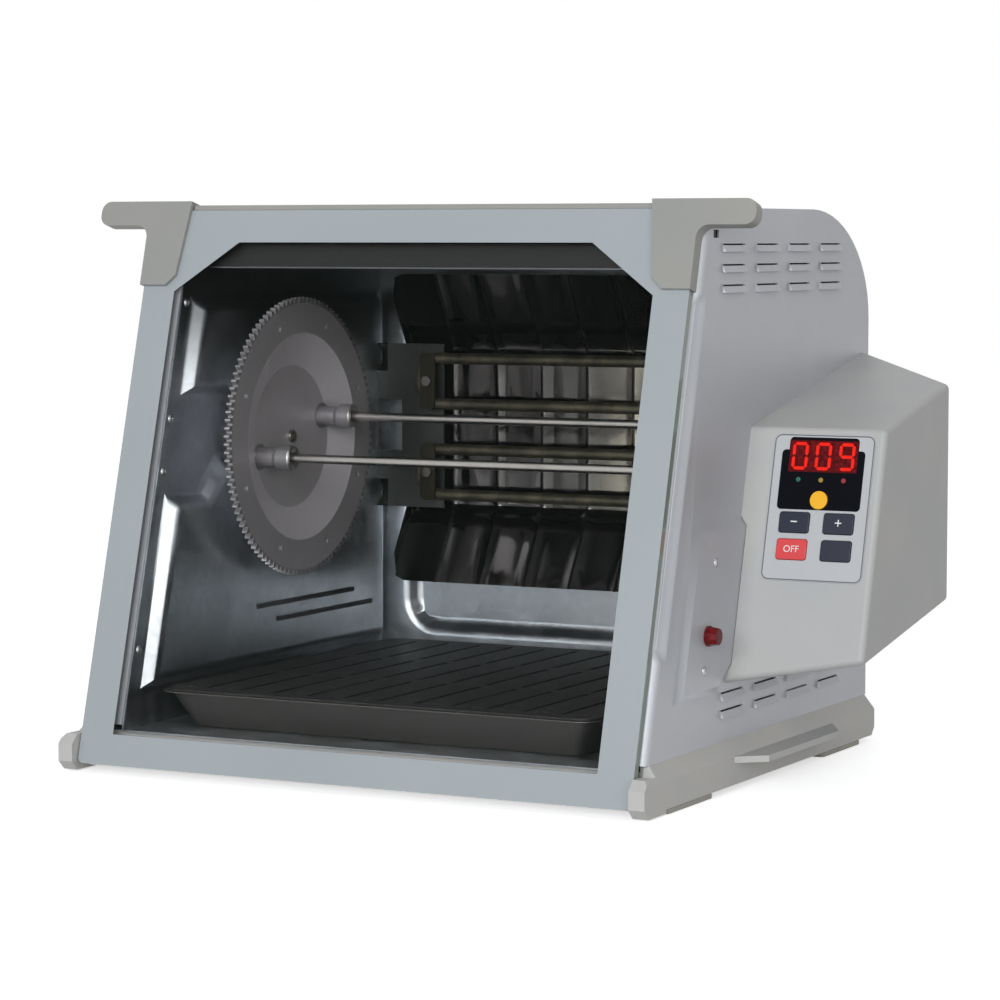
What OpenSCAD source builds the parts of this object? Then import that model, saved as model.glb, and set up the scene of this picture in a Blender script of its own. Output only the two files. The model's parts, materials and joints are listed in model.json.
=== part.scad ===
// Countertop rotisserie oven.
// The casing leans back at the front and carries a glass door hinged at its foot. Two gear wheels
// joined by two spit rods turn inside, driven by a pinion on a gearmotor between the right walls.
// X runs to the right, Y to the back and Z up. Places are first measured from the middle of the
// door's lower front edge on the table, and placed() moves the origin under the middle of the oven.

/* [Casing] */
// Width over the two side panels
body_w = 401; // [385:1:415]
// Height of the casing top above the table
body_h = 361; // [352:1:380]
// Depth from the door's lower front edge to the back of the casing
body_d = 369; // [364:1:385]
// Lean of the door and the front edges from upright, in degrees
front_lean = 15; // [14:0.5:15.5]
// Thickness of the casing sheet steel
sheet_t = 1; // [0.8:0.1:1.2]
// Depth of the round where the top runs into the back
round_d = 101; // [95:1:106]
// Height of that round
round_h = 73; // [66:1:76]

/* [Base] */
// Width of the base moulding
base_w = 416; // [412:1:422]
// Height of the seam between base and side panels
base_top = 30.5; // [29.5:0.5:34]
// Wall thickness of the base moulding
base_wall = 3; // [2.5:0.5:3.5]
// Height of the foot pads
foot_h = 3.5; // [3:0.5:4]
// Reach of the carrying ledge beyond the base
ledge_reach = 17; // [12:1:20]
// Length of the carrying ledge at the base
ledge_l = 162; // [140:1:180]

/* [Door] */
// Width of the door glass
door_w = 393; // [380:1:393]
// Length of the door glass along its slope
door_l = 367; // [362:1:370]
// Height of the door glass above the table at its lower front edge
door_z = 5.8; // [5.4:0.1:6.4]
// Thickness of the door glass
glass_t = 5; // [4:0.5:5]
// Width of the enamel band at each side of the window
band_side = 24; // [20:1:28]
// Width of the enamel band above the window
band_top = 21.5; // [18:0.5:26]
// Width of the enamel band below the window
band_foot = 20; // [17:0.5:24]
// Reach of each door handle beyond the glass
handle_reach = 39.5; // [32:0.5:45]
// Radius of the hinge pins
hinge_pin_r = 2.2; // [2:0.1:2.4]

/* [Cavity] */
// Width between the raised faces of the two inner walls
cavity_w = 323; // [319:1:326]
// Height of the raised face on each inner wall
emboss_h = 9; // [7:0.5:10]
// Height of the cavity floor above the table
floor_z = 27; // [26.5:0.5:28]
// Space between the ceiling and the casing top
ceiling_room = 38; // [38:1:45]
// Space between the inner back wall and the back of the casing
back_room = 18.5; // [17:0.5:20]

/* [Spit] */
// Distance from the door's lower front edge back to the spit axis
hub_y = 192; // [189:0.5:194]
// Height of the spit axis above the table
hub_z = 207.5; // [205:0.5:210]
// Number of teeth on each gear wheel
gear_teeth = 110; // [104:2:112]
// Tooth module of the wheels and the pinion
gear_module = 1.7; // [1.6:0.05:1.7]
// Thickness of the toothed rim
rim_t = 4; // [3:0.5:5]
// Distance of the left wheel's toothed rim from the middle
rim_x = 141.5; // [139:0.5:142]
// Room between the right wheel's toothed rim and the wall behind it
wheel_room = 0.5; // [0.4:0.1:1.5]
// Diameter of a spit rod
rod_d = 6; // [5:0.5:7]
// Distance of each spit rod from the spit axis
rod_r = 42.5; // [38:0.5:46]
// Angle by which the rod pair is turned from level at rest, in degrees
rod_turn = 16.5; // [10:0.5:25]
// Radius of the wheel's axle stub
axle_r = 5.5; // [4.5:0.5:6]

/* [Drive] */
// Number of teeth on the drive pinion
pinion_teeth = 16; // [15:1:18]
// Direction from the spit axis to the pinion, below level towards the back, in degrees
pinion_turn = 52; // [46:1:58]
// Radius of the gearmotor can
motor_r = 29; // [25:1:31]
// Length of the gearmotor can
motor_l = 22; // [16:1:22]

/* [Heater] */
// Diameter of the heater sheath
sheath_d = 8; // [7:0.5:8.5]
// Spacing of the heater runs
run_pitch = 32.4; // [30:0.2:34]
// Distance of the heater in front of the inner back wall
heater_room = 25.5; // [24.5:0.5:28.5]
// Distance between the two ends of the heater bends
heater_w = 254; // [240:1:258]

/* [Drip tray] */
// Width of the tray over its rim
tray_w = 316; // [300:1:317]
// Space between the tray's rim and the inner back wall
tray_room = 7.5; // [4.5:0.5:19.5]
// Height of the tray
tray_h = 24; // [20:1:27]
// How far the rim stands out over the bottom on each side
tray_taper = 14; // [10:1:18]
// Distance from the door's lower front edge to the tray rim
tray_y = 31; // [30.5:0.5:33]
// Number of slot rows in the grate
grate_rows = 11; // [8:1:12]

/* [Control box] */
// Reach of the control box beyond the side panel
control_reach = 91; // [86:1:96]
// Distance of the control face behind the door's front face, square to it
control_back = 105.5; // [104:0.5:110]
// Where the control face starts, along the slope from the door's foot
control_low = 92.5; // [90:0.5:96]
// Where the control face ends, along the slope from the door's foot
control_high = 256; // [254:0.5:262]
// Wall thickness of the control box
control_wall = 2.5; // [2:0.5:3]
// Travel of the push buttons
button_travel = 0.8; // [0.6:0.1:1]

/* [Hidden] */

// Facets of round shapes, of hulled spheres, and points on the big round
$fn = 48;
hull_facets = 24;
round_steps = 14;

// Overrun of every cut, running gap between pieces that don't touch, and gap of a shaft in its bore
cut = 1;
gap = 0.3;
fit = 0.1;

// Colours
plastic_grey = "#b9b4a9";
painted_grey = "#a9adb4";
liner_grey = "#8c9096";
dark_steel = "#3b3a36";
bright_steel = "#d4d4d6";
wheel_grey = "#6f6a6e";
black_plastic = "#17181a";

// Places that follow the casing
ceiling_z = body_h - ceiling_room;
back_y = body_d - back_room;
heater_y = back_y - heater_room;
tray_d = back_y - tray_room - tray_y;

// Half widths of the casing, the door and the base
body_half = body_w / 2;
door_half = door_w / 2;
base_half = base_w / 2;

// The casing's front plane lies this far behind the door's front face
seat_gap = 1.3;
seat = glass_t + seat_gap;

// Inner walls: plain face, outer face and raised face, as distances from the middle
raised_x = cavity_w / 2;
plain_x = raised_x + emboss_h;
liner_x = plain_x + sheet_t;

// Distance back of the plane that lies behind the door's front face by back, at height z
function face_y(z, back) = (z - door_z) * tan(front_lean) + back / cos(front_lean);

// Place on the door plane: along the slope from the foot, and out of the door's front face
function on_face(along, out) = [
    along * sin(front_lean) - out * cos(front_lean),
    door_z + along * cos(front_lean) + out * sin(front_lean)
];

// Distance along the slope of a height on the plane that lies back behind the door's front face
function slope_at(z, back) = (z - door_z + back * sin(front_lean)) / cos(front_lean);

// Extent of the whole oven, which sets its origin
ear_front = 5;
gland_out = 9;
left_reach = door_half + handle_reach;
right_reach = body_half + control_reach;
shift_x = (left_reach - right_reach) / 2;
shift_y = (ear_front - body_d - gland_out) / 2;

module placed() {
    translate([shift_x, shift_y, 0])
        children();
}

// Draws in the door's own plane: X across, Y up the slope, Z out of the front face
module on_door() {
    translate([0, 0, door_z])
        rotate([90 - front_lean, 0, 0])
            children();
}

// Draws an outline given as depth and height, and extrudes it along X from x
module across(x, length) {
    translate([x, 0, 0])
        rotate([90, 0, 90])
            linear_extrude(length)
                children();
}

// Repeats a piece mirrored to the other side
module both_sides() {
    children();
    mirror([1, 0, 0])
        children();
}

// A cylinder along X from x0 to x1
module pin_x(x0, x1, y, z, r) {
    translate([x0, y, z])
        rotate([0, 90, 0])
            cylinder(h = x1 - x0, r = r);
}

// Rectangle with round corners, centred
module round_rect(w, h, r) {
    for (x = [r - w / 2, w / 2 - r])
        for (y = [r - h / 2, h / 2 - r])
            translate([x, y])
                circle(r = r);
    if (w > 2 * r)
        square([w - 2 * r, h], center = true);
    if (h > 2 * r)
        square([w, h - 2 * r], center = true);
}

// Moves every side of an anticlockwise outline inwards by d
function edge_normal(p, q) = [p.y - q.y, q.x - p.x] / norm(q - p);
function inset_point(o, p, q, d) =
    let (a = edge_normal(o, p), b = edge_normal(p, q))
    p + d * (a + b) / (1 + a * b);
function inset(points, d) = [
    for (i = [0 : len(points) - 1])
        inset_point(
            points[(i + len(points) - 1) % len(points)],
            points[i],
            points[(i + 1) % len(points)],
            d)
];

// Solid between an outline at height z0 and one of as many points at height z1
module loft(low, high, z0, z1) {
    n = len(low);
    polyhedron(
        points = concat([for (p = low) [p.x, p.y, z0]], [for (p = high) [p.x, p.y, z1]]),
        faces = concat(
            [[for (i = [0 : n - 1]) i]],
            [[for (i = [n - 1 : -1 : 0]) n + i]],
            [for (i = [0 : n - 1]) [i, n + i, n + (i + 1) % n, (i + 1) % n]]));
}

// Casing outline

// Points of the round from the top to the back, moved inwards by skin
function round_points(skin) = [
    for (i = [0 : round_steps])
        let (a = 90 - 90 * i / round_steps)
        [
            body_d - round_d + (round_d - skin) * cos(a),
            body_h - round_h + (round_h - skin) * sin(a)
        ]
];

// Side outline of the casing, clockwise from its lower front corner
function side_outline(front, skin) = concat(
    [[face_y(base_top, front), base_top], [face_y(body_h - skin, front), body_h - skin]],
    round_points(skin),
    [[body_d - skin, base_top]]);

// Louvre: a slot under a pressed hood that opens downwards
louvre_l = 36;
louvre_h = 6;
louvre_out = 3;

module louvre_hood() {
    translate([0, 0, sheet_t])
        difference() {
            rotate([90, 0, 90])
                linear_extrude(louvre_l, center = true)
                    polygon([[-louvre_h / 2, 0], [louvre_h / 2, 0], [-louvre_h / 2, louvre_out]]);
            translate([0, -sheet_t, -cut])
                rotate([90, 0, 90])
                    linear_extrude(louvre_l - 2 * sheet_t, center = true)
                        polygon([
                            [-louvre_h / 2 - cut, 0],
                            [louvre_h / 2, 0],
                            [louvre_h / 2, cut],
                            [-louvre_h / 2, cut + louvre_out - sheet_t / 2],
                            [-louvre_h / 2 - cut, cut + louvre_out - sheet_t / 2]
                        ]);
        }
}

module louvre_slot() {
    translate([0, -sheet_t / 2, sheet_t / 2])
        cube([louvre_l - 2 * sheet_t, louvre_h - sheet_t, sheet_t + 2 * cut], center = true);
}

// Middles of the louvres on a side panel, as depth and height: a high field and a low one
high_rows = 3;
low_rows = 2;
louvre_columns = 4;
louvre_pitch = 53;
high_row_pitch = 12.6;
low_row_pitch = 11;
louvre_front = 138;
high_louvre_drop = 24;
low_louvre_rise = 18;
louvre_places = concat(
    [for (r = [0 : high_rows - 1]) for (c = [0 : louvre_columns - 1])
        [louvre_front + c * louvre_pitch, body_h - high_louvre_drop - r * high_row_pitch]],
    [for (r = [0 : low_rows - 1]) for (c = [0 : louvre_columns - 1])
        [louvre_front + c * louvre_pitch, base_top + low_louvre_rise + r * low_row_pitch]]);

// Front edge of a side panel: it turns inwards behind the door, and steps in over its middle
jog_rise = 67.5;
jog_drop = 58;
jog_low = base_top + jog_rise;
jog_high = body_h - jog_drop;
jog_in = 3;
jog_d = 7;
lip_d = 14;
flange_in = liner_x + gap;

// Section of the edge, as distance from the middle and distance behind the door's front face
function flange_section(x_out, skin) = [
    [flange_in, -seat], [x_out, -seat], [x_out, -seat - skin],
    [flange_in + skin, -seat - skin], [flange_in + skin, -seat - lip_d], [flange_in, -seat - lip_d]
];
function jog_section(skin) = [
    [flange_in, -seat], [body_half - jog_in, -seat],
    [body_half - jog_in, -seat - jog_d], [body_half, -seat - jog_d - jog_in],
    [body_half, -seat - jog_d - jog_in - skin], [body_half - skin, -seat - jog_d - jog_in - skin],
    [body_half - jog_in - skin, -seat - jog_d],
    [body_half - jog_in - skin, -seat - skin],
    [flange_in + skin, -seat - skin], [flange_in + skin, -seat - lip_d], [flange_in, -seat - lip_d]
];

module along_slope(t0, t1) {
    on_door()
        translate([0, t1, 0])
            rotate([90, 0, 0])
                linear_extrude(t1 - t0)
                    children();
}

// Raised pad of the right side panel, as depth and height
pad_h = 4;
pad_bevel = 7;
pad_low = 60;
pad_high = 170;
pad_front = 33;
pad_rear = 300;
pad_turn = [112, 130];
pad_rise = [12, 52];
pad_outline = [
    [face_y(pad_low, pad_front), pad_low], [pad_turn[0], pad_low],
    [pad_turn[1], pad_low + pad_rise[0]], [pad_rear, pad_low + pad_rise[1]],
    [pad_rear, pad_high], [face_y(pad_high, pad_front), pad_high]
];
// The same outline moved out by d, at the pad's foot
function pad_grown(d) = inset(pad_outline, -d);

// Pilot lamp and small screws on the pad, as depth and height
lamp_r = 6;
lamp_y = 93;
lamp_z = 100;
pad_screw_places = [[105, 144], [88, 79]];
pad_screw_r = 1.5;

// Slot for the door catch
catch_y = 112;
catch_drop = 16;
catch_z = body_h - catch_drop;
catch_w = 8;
catch_h = 5;

// Screws that hold the wrap cover to the side panels' rear flanges
cover_screw_r = 1.6;
cover_screw_shares = [0.09, 0.36, 0.66];
cover_screw_heights = [for (k = cover_screw_shares) base_top + k * (body_h - base_top)];
rear_flange_w = 14;
cover_screw_x = body_half - sheet_t - rear_flange_w / 2;

// Screws that hold each inner wall to the lip of the front flange
wall_screw_r = 1.5;
wall_screw_gap = 17;
wall_screw_rise = 50;
wall_screw_drop = 23;
wall_screw_heights = [
    floor_z + wall_screw_rise, hub_z - wall_screw_gap, hub_z + wall_screw_gap,
    ceiling_z - wall_screw_drop
];
wall_screw_back = 13;

module side_panel(right) {
    inner_x = body_half - sheet_t;
    difference() {
        union() {
            difference() {
                across(inner_x, sheet_t)
                    polygon(side_outline(seat, 0));
                // Room for the stepped edge
                along_slope(slope_at(jog_low, seat), slope_at(jog_high, seat))
                    translate([inner_x - cut, -seat - jog_d - jog_in])
                        square([sheet_t + 2 * cut, jog_d + jog_in + 2 * seat]);
            }
            along_slope(slope_at(base_top, seat), slope_at(jog_low, seat))
                polygon(flange_section(body_half, sheet_t));
            along_slope(slope_at(jog_low, seat) - sheet_t, slope_at(jog_high, seat) + sheet_t)
                polygon(jog_section(sheet_t));
            along_slope(slope_at(jog_high, seat), slope_at(body_h, seat) - 2 * sheet_t)
                polygon(flange_section(body_half, sheet_t));
            // Rear flange
            translate([inner_x - rear_flange_w, body_d - 2 * sheet_t - gap, base_top])
                cube([rear_flange_w, sheet_t, body_h - round_h - base_top]);
            translate([inner_x, 0, 0])
                rotate([90, 0, 90]) {
                    for (p = louvre_places)
                        translate(p)
                            louvre_hood();
                    if (right)
                        loft(pad_outline, inset(pad_outline, pad_bevel), 0, pad_h + sheet_t);
                }
        }
        translate([inner_x, 0, 0])
            rotate([90, 0, 90]) {
                for (p = louvre_places)
                    translate(p)
                        louvre_slot();
                if (right) {
                    translate([0, 0, -sheet_t])
                        loft(pad_outline, inset(pad_outline, pad_bevel), 0, pad_h + sheet_t);
                    translate([lamp_y, lamp_z, -cut])
                        cylinder(h = pad_h + sheet_t + 2 * cut, r = lamp_r);
                    for (p = pad_screw_places)
                        translate([p.x, p.y, -cut])
                            cylinder(h = pad_h + sheet_t + 2 * cut, r = pad_screw_r + fit);
                    translate([catch_y, catch_z, sheet_t / 2])
                        cube([catch_w, catch_h, sheet_t + 2 * cut], center = true);
                    for (p = boss_places)
                        translate([p.x, p.y, -cut])
                            cylinder(h = pad_h + sheet_t + 2 * cut, r = housing_screw_r + fit);
                }
            }
        for (z = cover_screw_heights)
            translate([cover_screw_x, body_d, z])
                rotate([90, 0, 0])
                    cylinder(h = 3 * sheet_t + cut, r = cover_screw_r + fit);
        for (z = wall_screw_heights)
            pin_x(plain_x, flange_in + sheet_t + cut, face_y(z, wall_screw_back), z,
                wall_screw_r + fit);
    }
}

module left_side_panel() {
    color(painted_grey)
        placed()
            mirror([1, 0, 0])
                side_panel(false);
}

module right_side_panel() {
    color(painted_grey)
        placed()
            side_panel(true);
}

// Wrap cover

cover_half = body_half - sheet_t - gap;
vent_rows = 3;
vent_columns = 7;
vent_pitch_x = 44;
vent_pitch_z = 14;
vent_l = 32;
vent_h = 4;
vent_drop = 125;
vent_low = body_h - vent_drop;

// Inlet of the supply cord in the back
gland_r = 7;
gland_x = 150;
gland_z = 62;

module wrap_cover() {
    color(painted_grey)
        placed()
            difference() {
                union() {
                    across(-cover_half, 2 * cover_half)
                        polygon(concat(
                            [[face_y(body_h, seat), body_h]],
                            round_points(0),
                            [[body_d, base_top], [body_d - sheet_t, base_top]],
                            [for (i = [round_steps : -1 : 0]) round_points(sheet_t)[i]],
                            [[face_y(body_h - sheet_t, seat), body_h - sheet_t]]));
                    // Front flange down to the ceiling, between the side panels' flanges
                    along_slope(slope_at(ceiling_z + sheet_t, seat), slope_at(body_h, seat) - sheet_t)
                        translate([gap - flange_in, -seat - sheet_t])
                            square([2 * (flange_in - gap), sheet_t]);
                }
                for (r = [0 : vent_rows - 1])
                    for (c = [0 : vent_columns - 1])
                        translate([(c - (vent_columns - 1) / 2) * vent_pitch_x, body_d,
                            vent_low + r * vent_pitch_z])
                            rotate([90, 0, 0])
                                linear_extrude(4 * sheet_t, center = true)
                                    round_rect(vent_l, vent_h, vent_h / 2);
                translate([gland_x, body_d + cut, gland_z])
                    rotate([90, 0, 0])
                        cylinder(h = sheet_t + 2 * cut, r = gland_r + fit);
                for (x = [-cover_screw_x, cover_screw_x])
                    for (z = cover_screw_heights)
                        translate([x, body_d + cut, z])
                            rotate([90, 0, 0])
                                cylinder(h = sheet_t + 2 * cut, r = cover_screw_r + fit);
            }
}

// A pan head screw along -Z with its head's foot at the origin
module pan_screw(r, length) {
    translate([0, 0, -length])
        cylinder(h = length, r = r);
    difference() {
        rotate_extrude()
            intersection() {
                square([2 * r, r]);
                translate([0, -r])
                    circle(r = 2.2 * r);
            }
        translate([0, 0, r])
            linear_extrude(r, center = true) {
                square([2 * r, r / 2], center = true);
                square([r / 2, 2 * r], center = true);
            }
    }
}

module casing_screws() {
    color(bright_steel)
        placed() {
            for (x = [-cover_screw_x, cover_screw_x])
                for (z = cover_screw_heights)
                    translate([x, body_d, z])
                        rotate([-90, 0, 0])
                            pan_screw(cover_screw_r, 4 * sheet_t);
            for (p = pad_screw_places)
                translate([body_half + pad_h, p.x, p.y])
                    rotate([0, 90, 0])
                        pan_screw(pad_screw_r, 4 * sheet_t);
        }
}

module cord_gland() {
    flange_t = gland_out / 3;
    color(black_plastic)
        placed()
            translate([gland_x, body_d, gland_z])
                rotate([-90, 0, 0])
                    difference() {
                        union() {
                            cylinder(h = flange_t, r = 1.6 * gland_r);
                            cylinder(h = gland_out, r1 = 1.1 * gland_r, r2 = 0.8 * gland_r);
                            translate([0, 0, -gland_out / 2])
                                cylinder(h = gland_out / 2 + flange_t, r = gland_r);
                        }
                        translate([0, 0, -gland_out - cut])
                            cylinder(h = 2 * gland_out + 2 * cut, r = gland_r / 2);
                    }
}

// Base

deck_z = floor_z - sheet_t;
shoulder_h = 9.3;
shoulder_z = base_top - shoulder_h;
base_setback = 12;
base_front = face_y(deck_z, seat) + base_setback;
deck_setback = 6;
deck_front = face_y(deck_z, seat) + deck_setback;
base_back_room = 2;
ear_in = door_half + 3 * gap;
ear_back = 26;
ear_z = 1;
ear_over = 3;
ear_top = shoulder_z + ear_over;
ear_chamfer = 6;
ledge_y = 208;
ledge_z = shoulder_z;
ledge_t = 4;
ledge_slant = 15;
pocket_d = 5;
base_chamfer = 5;

// Hinge pin axis, on the door plane and as depth and height
hinge_along = 9;
hinge_out = -glass_t - hinge_pin_r - 2 * gap;
hinge_at = on_face(hinge_along, hinge_out);
hinge_pin_l = 8;

// Section across the base from height low, with the lips that the side panels stand on
module base_section(low) {
    lip_in = body_half - 2 * base_wall;
    polygon([
        [-base_half, low], [base_half, low], [base_half, shoulder_z],
        [body_half, base_top], [lip_in, base_top], [lip_in, deck_z],
        [-lip_in, deck_z], [-lip_in, base_top], [-body_half, base_top], [-base_half, shoulder_z]
    ]);
}

// Ear beside the door's foot. Its top runs on into the slope of the base's shoulder
module base_ear() {
    slot_w = 2 * hinge_pin_r + fit;
    rise = face_y(base_top, seat);
    difference() {
        intersection() {
            across(ear_in, base_half - ear_in)
                polygon([
                    [-ear_front, ear_z + ear_chamfer], [ear_chamfer - ear_front, ear_z],
                    [ear_back, ear_z], [ear_back, base_top], [rise, base_top], [rise, ear_top],
                    [ear_chamfer - ear_front, ear_top], [-ear_front, ear_top - ear_chamfer]
                ]);
            translate([0, ear_back + cut, 0])
                rotate([90, 0, 0])
                    linear_extrude(ear_back + ear_front + 2 * cut)
                        base_section(ear_z - cut);
        }
        pin_x(ear_in - cut, ear_in + hinge_pin_l + cut, hinge_at.x, hinge_at.y, hinge_pin_r + fit);
        // Way in for the pin when the door is lifted off
        translate([ear_in - cut, hinge_at.x, hinge_at.y])
            rotate([-front_lean, 0, 0])
                translate([0, -slot_w / 2, 0])
                    cube([hinge_pin_l + cut + gap, slot_w, ear_top]);
    }
}

module base() {
    inner = base_half - base_wall;
    back = body_d - base_back_room;
    color(plastic_grey)
        placed() {
            difference() {
                translate([0, back, 0])
                    rotate([90, 0, 0])
                        linear_extrude(back - deck_front)
                            base_section(foot_h);
                // Hollow underside
                translate([-inner, base_front + base_wall, foot_h - cut])
                    cube([2 * inner, back - base_front - 2 * base_wall,
                        deck_z - foot_h - base_wall + cut]);
                // Set back under the door's swing
                translate([-base_half - cut, deck_front - cut, foot_h - cut])
                    cube([base_w + 2 * cut, base_front - deck_front + cut,
                        deck_z - foot_h - base_wall + cut]);
                // Chamfer under the back edge
                across(-base_half - cut, base_w + 2 * cut)
                    polygon([
                        [back - base_chamfer, foot_h - cut], [back + cut, foot_h - cut],
                        [back + cut, foot_h + base_chamfer], [back, foot_h + base_chamfer],
                        [back - base_chamfer, foot_h]
                    ]);
                // Finger pockets over the carrying ledges
                both_sides()
                    translate([base_half - pocket_d, ledge_y - ledge_l / 2 + ledge_slant, ledge_z])
                        cube([pocket_d + cut, ledge_l - 2 * ledge_slant, shoulder_h / 2]);
            }
            both_sides()
                base_ear();
            both_sides()
                translate([0, 0, ledge_z - ledge_t])
                    linear_extrude(ledge_t)
                        polygon([
                            [base_half - pocket_d, ledge_y - ledge_l / 2],
                            [base_half, ledge_y - ledge_l / 2],
                            [base_half + ledge_reach, ledge_y - ledge_l / 2 + ledge_slant],
                            [base_half + ledge_reach, ledge_y + ledge_l / 2 - 2 * ledge_slant],
                            [base_half, ledge_y + ledge_l / 2],
                            [base_half - pocket_d, ledge_y + ledge_l / 2]
                        ]);
            // Stiffening ribs under the deck
            for (x = [-base_w / 5, base_w / 5])
                translate([x - base_wall / 2, base_front + base_wall / 2, deck_z - 5 * base_wall])
                    cube([base_wall, back - base_front - base_wall, 5 * base_wall - base_wall / 2]);
        }
}

foot_l = 66;
foot_w = 16;
foot_round = 3;
foot_front = 62;
foot_rear = 308;

module feet() {
    color("#8f8c85")
        placed()
            both_sides()
                for (y = [foot_front, foot_rear])
                    translate([base_half - foot_w / 2, y, 0])
                        linear_extrude(foot_h)
                            round_rect(foot_w, foot_l, foot_round);
}

// Liner of the cavity

liner_front = seat + sheet_t + gap;
bevel_w = 8;
bevel_back = 17;
plateau_rise = 23;
plateau_drop = 19;
plateau_end = 4;
plateau_low = floor_z + plateau_rise;
plateau_high = ceiling_z - plateau_drop;
plateau_rear = back_y - plateau_end;
saddle_wall = 4;
saddle_room = 1;
saddle_half = axle_r + saddle_wall;
guide_r = saddle_half + saddle_room;
mouth_under = 28.5;
mouth_over = 30.5;
mouth_fall = 5;
mouth_low = hub_z - mouth_under;
mouth_high = hub_z + mouth_over;
mouth_end = 90;
seat_start = 75;
throat_start = 65;
throat_end = 40;
arc_steps = 6;

// Raised field of an inner wall, as depth and height, anticlockwise
plateau = [
    [face_y(plateau_low, bevel_back), plateau_low], [plateau_rear, plateau_low],
    [plateau_rear, plateau_high], [face_y(plateau_high, bevel_back), plateau_high]
];

// The spit guide runs into it from the front as a wide mouth that narrows to the axle's seat
guide_mouth = [
    [0, mouth_low], [hub_y - mouth_end, mouth_low - mouth_fall],
    [hub_y - throat_start, hub_z - guide_r], [hub_y - throat_end, hub_z + 2 * guide_r],
    [hub_y - throat_start, mouth_high], [0, mouth_high]
];
guide_seat = concat(
    [[hub_y - seat_start, hub_z + 2 * guide_r], [hub_y - seat_start, hub_z - guide_r]],
    [for (i = [0 : arc_steps])
        let (a = 180 * i / arc_steps - 90)
        [hub_y + guide_r * cos(a), hub_z + guide_r * sin(a)]],
    [[hub_y - throat_end, hub_z + 2 * guide_r]]);
raised_h = emboss_h + sheet_t;

// A hollow whose outline widens with height as the plateau narrows
module guide_cut(outline) {
    extra = cut * bevel_w / raised_h;
    loft(inset(outline, extra), inset(outline, -bevel_w - extra), -cut, raised_h + cut);
}

module raised_field() {
    difference() {
        loft(plateau, inset(plateau, bevel_w), 0, raised_h);
        guide_cut(guide_mouth);
        guide_cut(guide_seat);
    }
}

// Slots low in each inner wall, as depth, height and length
wall_slot_h = 3.5;
wall_slot_l = 134;
wall_slot_back = 37;
wall_slot_rise = 65.5;
wall_slot_step = [26, -11];
wall_slots = [
    for (i = [0, 1])
        [hub_y + wall_slot_back, floor_z + wall_slot_rise] + i * wall_slot_step
];

// Drive pinion: its axis and its place in mesh
pitch_r = gear_module * gear_teeth / 2;
pinion_pitch_r = gear_module * pinion_teeth / 2;
mesh_distance = pitch_r + pinion_pitch_r;
pinion_y = hub_y + mesh_distance * cos(pinion_turn);
pinion_z = hub_z - mesh_distance * sin(pinion_turn);
shaft_r = 4;
shaft_room = 1;

// Heater runs, from the top down
heater_runs = 4;
heater_rise = 1;
heater_mid = hub_z + heater_rise;
function run_z(i) = heater_mid + ((heater_runs - 1) / 2 - i) * run_pitch;
bush_r = 8;
collar_r = 10.4;

module wall_outline() {
    polygon([
        [face_y(deck_z, liner_front), deck_z], [back_y, deck_z],
        [back_y, ceiling_z], [face_y(ceiling_z, liner_front), ceiling_z]
    ]);
}

// Left inner wall, or the right one before it is mirrored
module inner_wall(right) {
    translate([-liner_x, 0, 0])
        rotate([90, 0, 90])
            difference() {
                union() {
                    linear_extrude(sheet_t)
                        wall_outline();
                    raised_field();
                }
                translate([0, 0, -sheet_t])
                    raised_field();
                for (s = wall_slots)
                    translate([s.x, s.y, 0])
                        linear_extrude(raised_h + cut)
                            round_rect(wall_slot_l, wall_slot_h, wall_slot_h / 2);
                for (z = wall_screw_heights)
                    translate([face_y(z, wall_screw_back), z, -cut])
                        cylinder(h = sheet_t + 2 * cut, r = wall_screw_r + fit);
                if (right) {
                    translate([pinion_y, pinion_z, -cut])
                        cylinder(h = raised_h + 2 * cut, r = shaft_r + shaft_room);
                    for (i = [0, heater_runs - 1])
                        translate([heater_y, run_z(i), -cut])
                            cylinder(h = raised_h + 2 * cut, r = bush_r + fit);
                }
            }
}

module left_inner_wall() {
    color(liner_grey)
        placed()
            inner_wall(false);
}

module right_inner_wall() {
    color(liner_grey)
        placed()
            mirror([1, 0, 0])
                inner_wall(true);
}

module wall_screws() {
    color(bright_steel)
        placed()
            both_sides()
                for (z = wall_screw_heights)
                    translate([-plain_x, face_y(z, wall_screw_back), z])
                        rotate([0, 90, 0])
                            pan_screw(wall_screw_r, 5 * sheet_t);
}

module ceiling_panel() {
    front = face_y(ceiling_z, liner_front);
    color(liner_grey)
        placed()
            difference() {
                translate([-liner_x, front, ceiling_z])
                    cube([2 * liner_x, back_y + sheet_t - front, sheet_t]);
                translate([cutout_x, cutout_y, ceiling_z - cut])
                    cylinder(h = sheet_t + 2 * cut, r = cutout_r / 2);
            }
}

// Outline of a rectangle with round corners, anticlockwise from its lower right corner
function round_outline(w, h, r, steps) = [
    for (k = [0 : 3])
        for (i = [0 : steps])
            let (
                a = 90 * (k - 1 + i / steps),
                x = (k == 0 || k == 1) ? w / 2 - r : r - w / 2,
                y = (k == 1 || k == 2) ? h / 2 - r : r - h / 2
            )
            [x + r * cos(a), y + r * sin(a)]
];
function moved(points, d) = [for (p = points) p + d];

// Panel pressed back into the inner back wall
recess_w = 300;
recess_rise = 30;
recess_drop = 22;
recess_low = floor_z + recess_rise;
recess_high = ceiling_z - recess_drop;
recess_r = 24;
recess_d = 8;
corner_steps = 5;
recess_outline = moved(
    round_outline(recess_w, recess_high - recess_low, recess_r, corner_steps),
    [0, (recess_low + recess_high) / 2]);

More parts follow.
